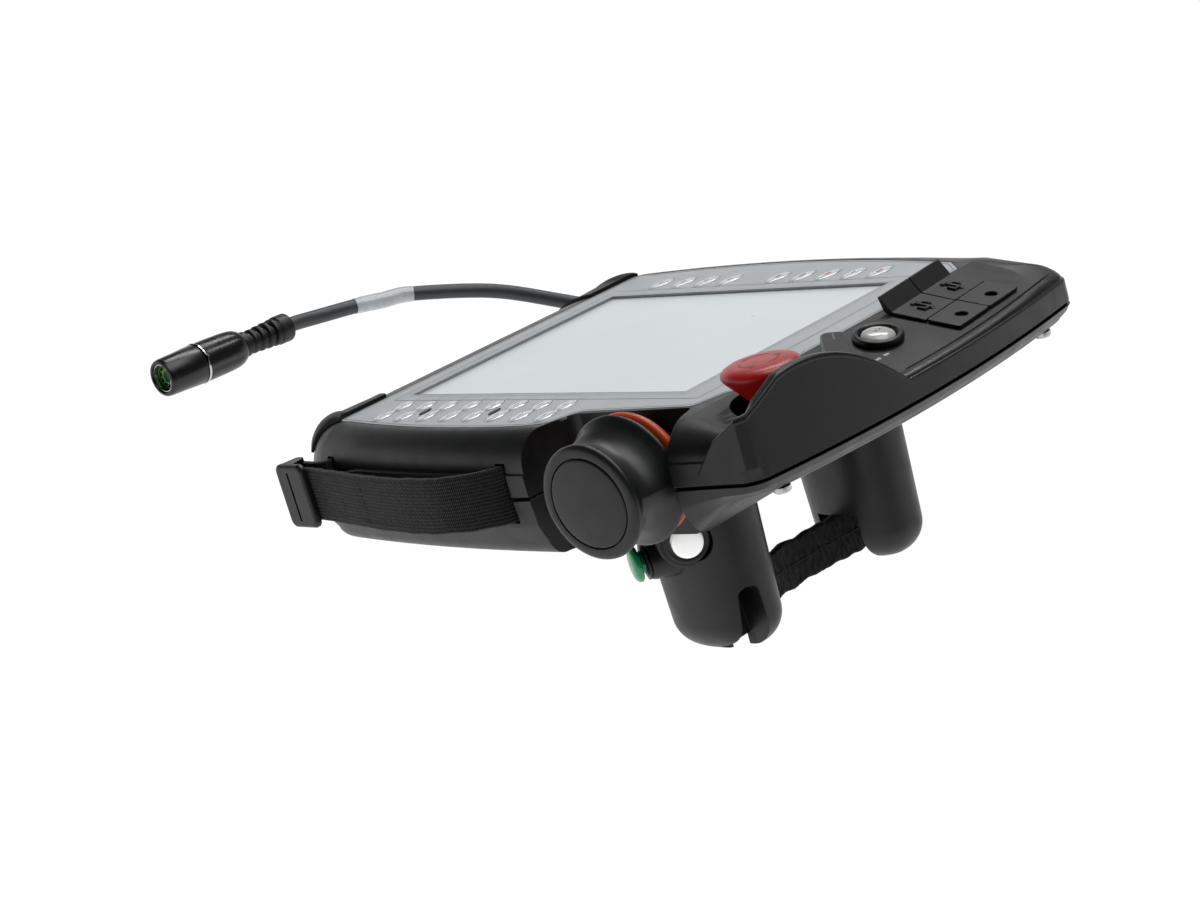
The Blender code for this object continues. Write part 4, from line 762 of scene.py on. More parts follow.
def rear_height(y):
    """Rear face: deep behind the screen, shallow behind the console."""
    return REAR_DEEP + (REAR_SHALLOW - REAR_DEEP) * eased((y - SLOPE_START + 24.0) / 52.0)


# How far the edges of the front face and of the side wall lie from the middle of the pendant.
def face_side(y):
    return max(HALF_WIDTH - 12.0 - (y + 15.0) ** 2 / 900.0, HALF_WIDTH - 27.0)


def wall_side(y):
    return HALF_WIDTH - (y + 10.0) ** 2 / 1700.0


def face_top(x):
    return TOP_EDGE - TOP_ROUND - x * x / 1050.0


def wall_top(x):
    return TOP_EDGE - x * x / 980.0


def symmetric_outline(side, top, bottom, lower_r, upper_r, inset=0.0):
    """Half outline from the lower right corner up to the crown, then its mirror image."""
    low = bottom + inset
    corner_y = TOP_EDGE - 10.0
    for _ in range(12):
        corner_y = top(side(corner_y) - inset) - inset
    corner_x = side(corner_y) - inset
    start, end = low + lower_r, max(corner_y - upper_r, SLOPE_START + 6)
    crown = corner_x - upper_r
    half = conic((side(low) - inset - lower_r, low), (side(low) - inset, low), (side(start) - inset, start),
                 CORNER_STEPS)
    heights = [start + (SLOPE_START - start) * i / SIDE_STEPS for i in range(1, SIDE_STEPS + 1)]
    heights += [SLOPE_START + (end - SLOPE_START) * i / 4 for i in (1, 2, 3)]
    half += [(side(y) - inset, y) for y in heights]
    half += conic((side(end) - inset, end), (corner_x, corner_y), (crown, top(crown) - inset), CORNER_STEPS)
    for i in range(1, CROWN_STEPS):
        x = crown * (1 - i / CROWN_STEPS)
        half.append((x, top(x) - inset))
    return half + [(0.0, top(0.0) - inset)] + [(-x, y) for x, y in reversed(half)]


FACE_OUTLINE = symmetric_outline(face_side, face_top, -100.0, 6.0, 22.0)
WALL_OUTLINE = symmetric_outline(wall_side, wall_top, BOTTOM_EDGE, BOTTOM_CORNER, TOP_CORNER)


def outline_point(outline, place):
    """A point on an outline; a place between two whole numbers lies between those corners."""
    before = math.floor(place)
    share = place - before
    (xa, ya), (xb, yb) = outline[before], outline[(before + 1) % len(outline)]
    return xa + (xb - xa) * share, ya + (yb - ya) * share


def front_point(place, turn):
    """A point on the rounding: turn 0 at the edge of the front face, 90 degrees at the wall."""
    x0, y0 = outline_point(FACE_OUTLINE, place)
    x1, y1 = outline_point(WALL_OUTLINE, place)
    z0, z1 = top_height(y0), ledge_height(y1)
    out, drop = math.sin(turn), math.cos(turn)
    return Vector((x0 + (x1 - x0) * out, y0 + (y1 - y0) * out, z1 + (z0 - z1) * drop))


def wall_ring(height, inset=0.0, bottom=0.0, lower_r=BOTTOM_CORNER, upper_r=TOP_CORNER, top_drop=0.0):
    """A ring round the side wall. Its height follows Y, and inset draws it in."""
    outline = symmetric_outline(
        wall_side, lambda x: wall_top(x) - top_drop, BOTTOM_EDGE + bottom, lower_r, upper_r, inset
    )
    return [(x, y, height(y)) for x, y in outline]


def cavity_tool(notch_wall):
    """The hollow inside both shells, clear of the cradle for the 6D mouse."""
    rings = [
        wall_ring(lambda y: rear_height(y) + WALL, 12.0, 8.0, 16.0, 4.0),
        wall_ring(lambda y: rear_height(y) * 0.62 + split_height(y) * 0.38, WALL + 1.0, 1.5),
        wall_ring(split_height, WALL),
        wall_ring(lambda y: min(ledge_height(y) - 1.0, top_height(y) - CEILING - 2.0), WALL, 1.5),
    ]
    middle, ceiling = [], []
    for (fx, fy), (wx, wy) in zip(FACE_OUTLINE, WALL_OUTLINE):
        shrink_y = min(1.0, max(-1.0, fy / 100.0)) * WALL
        shrink_x = math.copysign(WALL, fx) if fx else 0.0
        ceiling_z = top_height(fy) - CEILING
        middle_z = min((ledge_height(wy) + top_height(fy)) / 2 - 3.4, ceiling_z - 1.0)
        middle.append(((fx + 1.6 * wx) / 2.6 - shrink_x, (fy + 1.6 * wy) / 2.6 - shrink_y, middle_z))
        ceiling.append((fx - shrink_x, fy - shrink_y, ceiling_z))
    return carve(tool(loft, rings + [middle, ceiling], ladder=True), cuts(notch_wall))


def notch_tool(grow):
    """Open cradle in the right-hand side, in which the 6D mouse stands."""
    corners = [
        (150.0, 34.0 - grow, 0), (104.0, 37.0 - grow, 14), (87.2 - grow, 44.0 - grow, 7),
        (80.8 - grow, SLOPE_START - 7.0 + grow, 3), (103.0, SLOPE_START - 0.2 + grow, 3),
        (150.0, SLOPE_START + 1.5 + grow, 0),
    ]
    return tool(prism, rounded(corners, 0, 10), -80.0, 20.0)


def hump_tool():
    """Protective wall round the emergency stop, with a rolled bead along its crest."""
    section = [(-0.77, None), (-0.77, -2.4), (-0.95, -2.0), (-1.0, -1.4), (-0.85, -0.7), (-0.4, -0.2), (0.4, 0.0),
               (2.4, 0.0), (3.1, -0.3), (3.4, -1.2), (3.4, None)]
    turn_at, foot_x, corner_x, foot_z = 0.25, 17.0, 97.5, -17.0
    rings = []
    for i in range(CREST_STEPS + 1):
        t = i / CREST_STEPS
        if t < turn_at:
            y = SLOPE_START + 13.0 + 22.0 * t / turn_at
            point, normal = Vector((wall_side(y), y)), Vector((1.0, 0.09))
        else:
            x = corner_x + (foot_x - corner_x) * (t - turn_at) / 0.75
            point, normal = Vector((x, wall_top(x))), Vector((x / 490.0, 1.0))
            normal = normal.lerp(Vector((0.8, 0.6)), max(0.0, 1 - (t - turn_at) / 0.06))
        normal.normalize()
        crest = min(CREST_START + CREST_CLIMB * t, CREST_TOP - CREST_FALL * (t - CREST_TOP_AT) ** 2)
        rings.append([(*(point - normal * inward), foot_z if drop is None else crest + drop)
                      for inward, drop in section])
    return tool(loft, rings)


def slot_tools():
    """Pockets in both side walls, in which the webbing is anchored."""
    low, high = STRAP_SPAN
    slots = []
    for _, side in HANDS:
        for y in STRAP_ENDS:
            near, far = sorted((side * (wall_side(y) - STRAP_POCKET), side * (wall_side(y) + 6.0)))
            slots.append(tool(box, (near, y - 2.8, low - 0.6), (far, y + 2.8, high + 0.6)))
    return slots


def console_point(x, y, above=0.0):
    """A point above the sloped console, measured square to it."""
    return (x, y + above * math.sin(CONSOLE_TILT), top_height(y) + above * math.cos(CONSOLE_TILT))


def on_ports(x=0.0, y=0.0):
    """Frame of the two port covers: X across them, Z out of the console."""
    turn = Matrix.Rotation(-CONSOLE_TILT, 4, "X") @ Matrix.Rotation(PORTS_TURN, 4, "Z")
    return PENDANT @ Matrix.Translation(Vector(console_point(*PORTS_AT))) @ turn @ Matrix.Translation((x, y, 0.0))


def groove_tool():
    """Fine groove along the console, just inside its far edge."""
    path = [Vector((x, face_top(x) - GROOVE_INSET)) for x in range(14, -104, -2)]
    rings = []
    for i, point in enumerate(path):
        ahead = ahead_of(path, i)
        side = Vector((-ahead.y, ahead.x)).normalized()
        rings.append([
            (*(point + side * s), top_height(point.y) + h)
            for s, h in ((-0.45, 1.5), (-0.45, -0.1), (0.0, -0.75), (0.45, -0.1), (0.45, 1.5))
        ])
    return tool(loft, rings)


def make_front(hollow, notch, slots):
    """Front shell with its protective wall, its seats for film, glass and controls, and its console."""
    rings = [[front_point(i, math.radians(a)) for i in range(len(FACE_OUTLINE))]
             for a in (0, 5, 10, 16, 23, 30, 38, 46, 54, 62, 70, 77, 84, 90)]
    rings += [wall_ring(lambda y, d=drop: ledge_height(y) - d, -out) for drop, out in
              ((0.12, 0.45), (0.5, 0.72), (1.0, SWELL))]
    rings += [wall_ring(lambda y, h=lift: split_height(y) + SPLIT_GAP + h, -out) for lift, out in
              ((0.35, SWELL), (0.0, 0.5))]
    front = loft("front_housing", rings, HOUSING, ladder=True)
    estop = (*ESTOP_AT, 0.0)
    seat_x, seat_y = SCREEN_X + GLASS_MARGIN + GAP, SCREEN_Y + GLASS_MARGIN + GAP
    steps = joins(hump_tool()) + cuts(hollow) + joins(bored([(17.5, -14.5), (17.5, -8.0)], estop))
    steps += cuts(
        notch,
        tool(prism, foil_outline(GAP), -FOIL_THICK - GAP, 4.0),
        tool(box, (-seat_x, -seat_y, GLASS_TOP - GLASS_THICK - GAP), (seat_x, seat_y, 3.0)),
        tool(box, (1 - SCREEN_X, 1 - SCREEN_Y, -9.0), (SCREEN_X - 1, SCREEN_Y - 1, 1.0)),
        bored([(15.0, -11.5), (15.0, 6.0)], estop),
        bored([(11.0, -25.0), (11.0, 1.0)], estop),
        bored([(10.0, -14.0), (10.0, 8.0)], console_point(*SELECTOR_AT), SLOPE_AXIS),
        bored([(8.2, -14.0), (8.2, 8.0)], console_point(*DISCONNECT_AT), SLOPE_AXIS),
        *[tool(box, (x - 8.0, -12.5, -9.0), (x + 8.0, -2.5, 3.0), place=on_ports())
          for x in (-PORT_PITCH / 2, PORT_PITCH / 2)],
        groove_tool(),
        *slots,
    )
    stands_for(carve(front, steps, 14), "front_shell")


def make_rear(hollow, notch, slots):
    """Rear shell: straight at the joint, drawn in towards a rounded heel."""
    def level(part):
        return lambda y: split_height(y) - SPLIT_GAP + part * (rear_height(y) - split_height(y) + SPLIT_GAP)

    rings = [wall_ring(level(0.0), -0.5), wall_ring(level(0.015), -SWELL)]
    for part in (0.1, 0.2, 0.3, 0.38, 0.45):
        share = (part - 0.015) / 0.435
        rings.append(wall_ring(level(part), -SWELL * (1 - share), 2.0 * share, BOTTOM_CORNER - 2.0 * share,
                               TOP_CORNER, 1.5 * share))
    depth = split_height(BOTTOM_EDGE) - SPLIT_GAP - REAR_DEEP
    for angle in (68, 60, 52, 44, 36, 28, 20, 12, 5, 0):
        turn = math.radians(angle)
        inset = HEEL_R * (0.95 - 0.75 * math.sin(turn))
        low = HEEL_Y - HEEL_R * math.sin(turn) - BOTTOM_EDGE - inset
        part = 1.0 - HEEL_R * (1 - math.cos(turn)) / depth
        drop = 1.0 - 3.5 * (1 - angle / 68.0) ** 1.6
        rings.append(wall_ring(level(part), inset, low, 26.0 - 9.0 * math.cos(turn), TOP_CORNER, drop))
    rear = loft("rear_housing", rings, HOUSING, ladder=True)
    stands_for(carve(rear, cuts(hollow, notch, *slots), 14), "rear_shell")


def make_joint_cord(notch, slots):
    """Rubber cord that shows as a dark line between the shells."""
    rings = [wall_ring(lambda y, h=h: split_height(y) + h, inset) for h, inset in
             ((-0.3, 0.3), (0.3, 0.3), (0.3, 4.6), (-0.3, 4.6))]
    cord = loft("joint_cord", rings, SEAL, closed=True)
    stands_for(carve(cord, cuts(notch, *slots), 14), "shell_gasket")


def make_shells():
    """Both shells and the cord between them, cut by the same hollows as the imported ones."""
    make_front(cavity_tool(notch_tool(WALL)), notch_tool(0.0), slot_tools())
    make_rear(cavity_tool(notch_tool(WALL)), notch_tool(0.0), slot_tools())
    make_joint_cord(notch_tool(0.0), slot_tools())


# ---------------------------------------------------------------- keypad film and screen
def foil_outline(grow=0.0):
    """Outline of the light grey film: bowed sides, square lower corners, notched at the cradle."""
    heights = [-94.0 + (SLOPE_START + 82.0) * i / 40 for i in range(41)]
    half = [(face_side(y) - 0.6 + grow, y, 0) for y in heights]
    left = [(-x, y, 0) for x, y, _ in half]
    right = [row for row in half if row[1] < 32.0]
    return rounded([
        (right[0][0] + 0.3, -100.0 - grow, 4.0), *right[1:],
        (97.2 + grow, 39.0, 5.0), (85.0 + grow, 45.5, 5.0), (79.6 + grow, SLOPE_START - 8.5 + grow, 3.0),
        (66.0 + grow, SLOPE_START - 3.5, 2.0), (63.0 + grow, SLOPE_START + grow, 2.0),
        (-78.0 - grow, SLOPE_START + grow, 3.0), (left[-1][0], SLOPE_START - 11.0, 3.0),
        *left[-2:0:-1], (left[0][0] - 0.3, -100.0 - grow, 4.0),
    ], 0, 8)


def inset_line(outline, depth):
    """The outline again, a little further in."""
    inner = []
    for i, point in enumerate(outline):
        ahead = Vector(outline[(i + 1) % len(outline)]) - Vector(outline[i - 1])
        if ahead.length >= 1e-6:
            inner.append(Vector(point) + Vector((-ahead.y, ahead.x)).normalized() * depth)
    return inner + [inner[0]]


def domed_keys(name, keys, rows, look):
    """Embossed ovals, each a pillow of the given (scale, height) rows."""
    stacks = [[[(*p, height) for p in oval_at(x, y, turn, long_half * scale, wide_half * scale)]
               for scale, height in rows] for x, y, turn, long_half, wide_half in keys]
    return finished_as(solid(name, *skins(stacks, (-1,)), look))


def make_foil():
    """Glass pane, and the one film with its border strip in painted shade, keys and printing."""
    end_x, end_y = SCREEN_X + GLASS_MARGIN, SCREEN_Y + GLASS_MARGIN
    pane = box("screen_pane", (-end_x, -end_y, GLASS_TOP - GLASS_THICK), (end_x, end_y, GLASS_TOP), GLASS)
    stands_for(pane, "touch_panel")
    foil = prism("keypad_film", foil_outline(), -FOIL_THICK, 0.0, FILM)
    window = tool(box, (-SCREEN_X, -SCREEN_Y, -5.0), (SCREEN_X, SCREEN_Y, 5.0))
    stands_for(carve(foil, cuts(window)), "keypad_membrane")

    def screen_border(out):
        return rectangle(-SCREEN_X - out, -SCREEN_Y - out, SCREEN_X + out, SCREEN_Y + out)

    # A flat strip round the window in the darker film finish: painted shade of the film's bend down to the glass.
    rings = [[(*p, 0.03) for p in screen_border(out)] for out in (0.0, 2.6)]
    finished_as(solid("film_border_painted_shade", *skins([rings], ()), FILM_STEP_SHADE))
    border = screen_border(-0.2)
    step = rounded(rectangle(-71.0, -90.5, 71.0, 98.5), 2.0, 4)
    ribbons("film_outline", [inset_line(foil_outline(), 0.25), border + border[:1]], 0.5, ON_FILM, PRINT_DARK)
    ribbons("film_step_lines", [step + step[:1], inset_line(foil_outline(), 2.0)], 0.4, ON_FILM, PRINT_GREY)

    ladder = [-75.0 + KEY_PITCH * i for i in range(8)]
    rights = [(x, y, KEY_TURN, 5.6, 3.1) for y in ladder for x in (78.0, 90.0)]
    lefts = [(-79.5, KEY_PITCH * (i + 0.5), -KEY_TURN, 6.6, 3.2) for i in (-5, -4, -3, -2, 0, 1, 2, 3, 4)]
    necks = [(84.0, y, KEY_TURN, 1.6, 1.1) for y in ladder]
    bars = [(84.8, y, KEY_TURN, 3.8, 1.3) for y in (-52.0, -6.7)]
    pillow = [(1.1, 0.02), (1.04, 0.16), (0.96, 0.38), (0.84, 0.5), (0.6, 0.56), (0.3, 0.59)]
    domed_keys("film_keys", rights + lefts, pillow, PEARL)
    domed_keys("film_key_necks", necks, [(1.1, 0.02), (0.9, 0.25), (0.5, 0.3)], PEARL)
    rims = [oval_at(x, y, turn, a * 1.13, b * 1.2) for x, y, turn, a, b in rights + lefts]
    ribbons("film_key_rims", [line + line[:2] for line in rims], 0.28, 0.06, PRINT_GREY)
    domed_keys("film_bars", bars, [(1.05, 0.02), (1.0, 0.4), (0.85, 0.6)], FITTING)

    def dashes(start, end, heights):
        return [[(start, y), (end, y)] for y in heights]

    leaders = dashes(66.6, 72.2, ladder) + dashes(-66.6, -72.6, [key[1] for key in lefts])
    ribbons("film_leader_lines", leaders, 0.35, 0.07, PRINT_LIGHT)
    ribbons("film_marks_green", dashes(-81.6, -77.6, (7.5, 22.5)), 1.7, ON_KEYS, PRINT_GREEN)
    ribbons("film_marks_red", dashes(-81.6, -77.6, (37.5, 67.5)), 1.7, ON_KEYS, PRINT_RED)
    ribbons("film_marks_grey", dashes(-81.0, -78.0, (52.5, -22.5, -37.5, -52.5, -67.5)), 0.9, ON_KEYS, PRINT_GREY)
    legends = [[(x - 1.6, y), (x + 1.6, y)] for x, y, *_ in rights]
    ribbons("film_key_legends", legends, 0.5, ON_KEYS, PRINT_GREY)


# ---------------------------------------------------------------- guards, screws, cover
def make_guard(hand, side):
    """Rubber bumper over the rounding of the lower corner, thinning out towards its edges."""
    columns = [-0.13, -0.1, -0.05, 0.0] + [2.5 * i / 40 for i in range(1, 41)]
    turns = [math.radians(4 + 54 * i / 18) for i in range(19)]
    rows, cols = len(turns), len(columns)

    def at(place, turn):
        return front_point(place * CORNER_STEPS / 4 if place > 0 else place, turn)

    def rise(share, least):
        return math.sin(math.pi * min(max(share, least), 1 - least)) ** 0.4

    skin, seat = [], []
    for row, turn in enumerate(turns):
        for place in columns:
            along = at(place + 0.04, turn) - at(place - 0.04, turn)
            down = at(place, turn + 0.03) - at(place, turn - 0.03)
            normal = along.cross(down).normalized()
            if normal.z < 0:
                normal = -normal
            crown = rise((place - columns[0]) / (columns[-1] - columns[0]), 0.012) * rise(row / (rows - 1), 0.02)
            skin.append(at(place, turn) + normal * (GUARD_SEAT + GUARD_EDGE + GUARD_CROWN * crown))
            seat.append(at(place, turn) + normal * (GUARD_SEAT * 0.2))
    shift = rows * cols
    faces = []
    for r in range(rows - 1):
        for c in range(cols - 1):
            a = r * cols + c
            faces += [(b, b + 1, b + cols + 1, b + cols) for b in (a, a + shift)]
    border = list(range(cols)) + [r * cols + cols - 1 for r in range(1, rows)]
    border += [(rows - 1) * cols + c for c in range(cols - 2, -1, -1)] + [r * cols for r in range(rows - 2, 0, -1)]
    faces += [(a, b, b + shift, a + shift) for a, b in zip(border, border[1:] + border[:1])]
    points = [(side * p.x, p.y, p.z) for p in skin + seat]
    stands_for(solid(f"corner_bumper_{hand}", points, faces, BUMPER, angle=50), f"corner_guard_{hand}")


def make_screws():
    """Socket-head screws of the rear shell."""
    high = SLOPE_START + 31.0
    rows = [(3.5, 0.0), (3.5, -1.7), (3.3, -2.1), (2.9, -2.4), (1.95, -2.4), (1.75, -2.2), (1.6, -1.1)]
    for i, (x, y) in enumerate([(83, high), (-83, high), (97, -20), (-97, -20), (78, -96), (-78, -96)], 1):
        place = stand((x, y, rear_height(y) - GAP))
        screw = lathe(f"socket_screw_{i}", rows, STEEL, place=place, segments=48)
        key = tool(lathe, [(1.9, -3.0), (1.9, -0.7)], place=place, segments=6)
        stands_for(carve(screw, cuts(key), 30), f"housing_screw_{i}")


def make_cable_cover():
    """Low cover with a rounded edge over the cable's entry, bored for it at one side."""
    rows = ((0.0, REAR_DEEP - GAP), (0.0, -59.6), (0.35, -60.8), (1.2, -62.2), (2.2, -63.1), (3.2, -63.4))
    rings = []
    for shrink, z in rows:
        corners = rectangle(-58 + shrink, -86 + shrink, 58 - shrink, -30 - shrink)
        rings.append([(x, y, z) for x, y in rounded(corners, 8.0 - shrink * 0.6, 10)])
    cover = loft("rear_cable_cover", rings, HOUSING)
    mouth = bored([(4.1, -3.0), (4.1, 40.0)], (-52.0, -58.0, -58.0), (-1, 0, 0))
    stands_for(carve(cover, cuts(mouth), 20), "cable_cover")


# ---------------------------------------------------------------- console controls
def make_estop():
    """Emergency stop: dished flare, soft rim, slightly domed top with raised turning arrows."""
    place = stand((*ESTOP_AT, 0.0))
    turned(
        "estop_head", "mushroom_head",
        [(0.3, 13.05), (4.0, 13.02), (8.0, 12.95), (11.0, 12.8), (13.0, 12.45), (14.4, 11.85), (15.3, 11.05),
         (15.7, 10.1), (15.6, 9.2), (15.1, 8.3), (13.6, 6.4), (11.5, 3.9), (9.4, 1.4), (7.8, -0.6), (6.9, -1.7),
         (6.5, -2.8), (6.4, -4.6), (4.8, -4.6), (4.8, 3.4)], RED, "stop_mushroom", place, 120,
    )

    def spot(radius, degrees, height=13.03):
        turn = math.radians(degrees)
        return (radius * math.cos(turn), radius * math.sin(turn), height)

    arrows = []
    for start in (10, 130, 250):
        arrows.append([spot(7.6, start + a) for a in range(0, 71, 5)])
        arrows += [[spot(radius, start + 70, 13.02), spot(7.6, start + 84)] for radius in (6.3, 8.9)]
    ribbons("mushroom_arrows", arrows, 0.9, 13.03, RED_MARK, place, "stop_mushroom")
    turned("estop_stem", "mushroom_stem", [(4.4, 3.0), (4.4, -17.0)], PIN_PLASTIC, "stop_plunger", place, 48)
    rows = [(10.4, -26.0), (10.4, -12.1), (10.0, -11.7), (5.4, -11.7), (5.0, -12.1), (5.0, -22.0)]
    turned("estop_contact_block", "stop_contact_block", rows, FITTING, "pendant", place, 72)


def make_selector():
    """Mode selector: a flanged switch body and a winged knob with a pointer line."""
    at = console_point(*SELECTOR_AT)
    turned(
        "selector_switch", "selector_body",
        [(9.7, -10.0), (9.7, GAP), (12.4, GAP), (12.6, 0.5), (12.6, 1.3), (12.3, 1.9), (11.4, 2.4), (3.3, 2.4),
         (3.3, -10.0)], FITTING, place=stand(at, SLOPE_AXIS), closed=True,
    )
    place = stand(at, SLOPE_AXIS, math.radians(-45))
    knob = lathe("selector_handle", [(10.4, 2.8), (10.6, 3.1), (10.6, 5.0), (10.3, 5.6), (9.6, 6.0)], FITTING,
                 "mode_selector", place)
    rings = []
    for shrink, z in ((0.0, 5.0), (0.0, 10.6), (0.3, 11.4), (0.9, 11.9), (1.6, 12.0)):
        corners = [(-5.6 + shrink, -12.6 + shrink), (5.6 - shrink, -12.6 + shrink), (5.0 - shrink, 12.6 - shrink),
                   (-5.0 + shrink, 12.6 - shrink)]
        rings.append([(x, y, z) for x, y in rounded(corners, 2.4 - shrink * 0.5, 8)])
    wing = tool(loft, rings, place=place)
    shaft = tool(lathe, [(2.9, 3.4), (2.9, -8.0)], place=place, segments=32)
    stands_for(carve(knob, joins(wing, shaft), 30), "selector_knob")
    ribbons("selector_pointer", [[(0.0, 4.5), (0.0, 10.6)]], 0.7, 12.03, PRINT_GREY, place, "mode_selector")


def make_disconnect():
    """Domed push button in a raised ring with a dark recess."""
    place = stand(console_point(*DISCONNECT_AT), SLOPE_AXIS)
    turned(
        "disconnect_switch", "push_ring",
        [(7.9, -9.0), (7.9, GAP), (10.3, GAP), (10.4, 0.8), (10.35, 1.9), (10.0, 2.8), (9.4, 3.2), (8.6, 3.2),
         (8.0, 2.9), (7.6, 2.2), (7.5, -5.0)], FITTING, place=place,
    )
    turned(
        "disconnect_button", "push_button",
        [(7.1, -2.6), (7.1, 1.3), (6.95, 1.9), (6.5, 2.6), (5.6, 3.15), (4.4, 3.55), (3.0, 3.8), (1.5, 3.95),
         (0.3, 4.0)], KEY_GREY, "disconnect_key", place,
    )
    ribbons("push_button_mark", [[(-1.6, 0.0), (-0.5, 0.0)], [(0.5, 0.0), (1.6, 0.0)]], 0.9, 3.99, PRINT_DARK,
            place, "disconnect_key")
    beside = stand(console_point(DISCONNECT_AT[0] + 12.5, DISCONNECT_AT[1] + 11.5), SLOPE_AXIS)
    lines = [[(-4.0, 0.0), (-2.2, 0.0)], [(-1.9, -0.8), (-1.9, 0.8)], [(1.9, -0.8), (1.9, 0.8)],
             [(2.2, 0.0), (4.0, 0.0)]]
    ribbons("console_mark", lines, 1.3, 0.04, PRINT_LIGHT, beside)


def make_ports():
    """Rubber covers: a screwed pad, a living hinge and a lid with a raised finger tab."""
    half = PORT_PITCH / 2 - 0.3
    side = [(-17.2, GAP), (0.9, GAP), (1.2, 0.7), (1.2, 1.4), (-14.6, 1.6), (-20.4, 7.2), (-21.4, 6.9),
            (-18.6, 1.2)]
    relief = ((0.0, -6.6, 1.4, 8.6), (-2.9, -7.4, 1.2, 4.2), (2.9, -5.6, 1.2, 4.2), (-1.4, -9.0, 2.4, 1.1),
              (1.4, -3.9, 2.4, 1.1), (0.0, -11.2, 3.6, 1.8))
    for hand, way in HANDS:
        x = way * PORT_PITCH / 2
        outline = rounded(rectangle(x - half, 1.8, x + half, 17.0), 1.0, 6)
        pad = prism(f"screw_pad_{hand}", outline, GAP, 1.6, COVER_RUBBER, place=on_ports())
        hole = tool(lathe, [(2.5, -1.0), (2.5, 1.3), (2.9, 1.7), (2.9, 4.0)], place=on_ports(x, 11.0), segments=64)
        stands_for(edged(carve(pad, cuts(hole), 30), 0.25), f"port_pad_{hand}")
        flap = (COVER_RUBBER, f"port_cover_{hand}", on_ports())
        lid = loft(f"port_flap_{hand}", [[(end, y, z) for y, z in side] for end in (x - half, x + half)], *flap)
        stands_for(edged(lid, 0.3), f"port_lid_{hand}")
        stacks = []
        for dx, py, wide, long in relief:
            px = x + dx
            quad = rounded(rectangle(px - wide / 2, py - long / 2, px + wide / 2, py + long / 2), 0.4, 4)
            stacks.append([[(px + (qx - px) * share, py + (qy - py) * share, z) for qx, qy in quad]
                           for z, share in ((1.3, 1.3), (2.45, 0.85))])
        finished_as(solid(f"port_flap_relief_{hand}", *skins(stacks, (-1,)), *flap))


# ---------------------------------------------------------------- 6D mouse
def make_mouse():
    """Knob with three finger scoops, flat cap, satin orange ring and the mount behind it."""
    seat = stand(MOUSE_CAP_AT, MOUSE_AXIS)
    head = [(18.4, -1.9, 0), (18.4, -0.1, 0), (18.6, 0.15, 0), (19.4, 0.22, 0), (21.0, 0.12, 0), (22.2, -0.25, 0),
            (23.0, -0.9, 0), (23.3, -1.75, 0), (23.2, -2.5, 0), (22.8, -3.2, 0)]
    neck = smooth_path([(22.8, -3.2, 0), (20.8, -5.2, 1.2), (19.6, -8.0, 2.8), (19.2, -11.5, 3.6),
                        (20.4, -15.5, 3.2), (23.2, -19.5, 1.5), (26.4, -22.4, 0.2)], 5)[1:]
    foot = [(26.75, -23.0, 0), (26.7, -23.6, 0), (26.2, -24.0, 0), (12.6, -24.0, 0), (12.6, -6.0, 0)]
    rings = [circle(lambda a: r + lobe * (1 - abs(math.sin(1.5 * (a - MOUSE_RIDGE)))) ** 1.5, z, MOUSE_POINTS)
             for r, z, lobe in [*head, *neck, *foot]]
    stands_for(loft("mouse_grip_knob", rings, KNOB, "mouse_grip", seat, angle=40), "mouse_knob")
    rows = [(18.0, -1.6), (18.0, 0.0), (17.7, 0.25), (17.0, 0.42), (13.0, 0.7), (9.0, 0.9), (4.0, 1.05), (0.3, 1.1)]
    turned("mouse_cap", "mouse_grip_cap", rows, KNOB, "mouse_grip", seat, 144)
    turned(
        "mouse_ring", "mouse_orange_ring",
        [(12.0, -27.2), (21.5, -27.2), (22.9, -27.35), (24.2, -27.8), (25.1, -28.5), (25.4, -29.4), (25.3, -30.3),
         (24.9, -31.1), (24.2, -31.6), (12.0, -31.6)], ORANGE, "pendant", seat, 144, closed=True,
    )
    turned(
        "mouse_mount", "mouse_socket",
        [(15.2, -43.5), (17.6, -38.5), (20.1, -33.0), (20.3, -32.3), (20.0, -32.0), (11.6, -32.0), (11.6, -27.2),
         (3.8, -27.2), (3.8, -41.0)], FITTING, "pendant", seat,
    )


# ---------------------------------------------------------------- rear: domes and switches
def dome_ring(height, side, inset=0.0):
    """A level ring of a dome, which widens a little towards its root."""
    widen = 1 + DOME_TAPER * max(height - DOME_BOTTOM, DOME_FILLET)
    return [(side * (DOME_AT[0] + x), DOME_AT[1] + y, height)
            for x, y in oval(*[size * widen - inset for size in DOME_HALF], DOME_POINTS, DOME_SQUARENESS)]


def mirrored(vector, side):
    """The vector on the right-hand side (1) or the left-hand one (-1)."""
    return Vector((side * vector[0], vector[1], vector[2]))


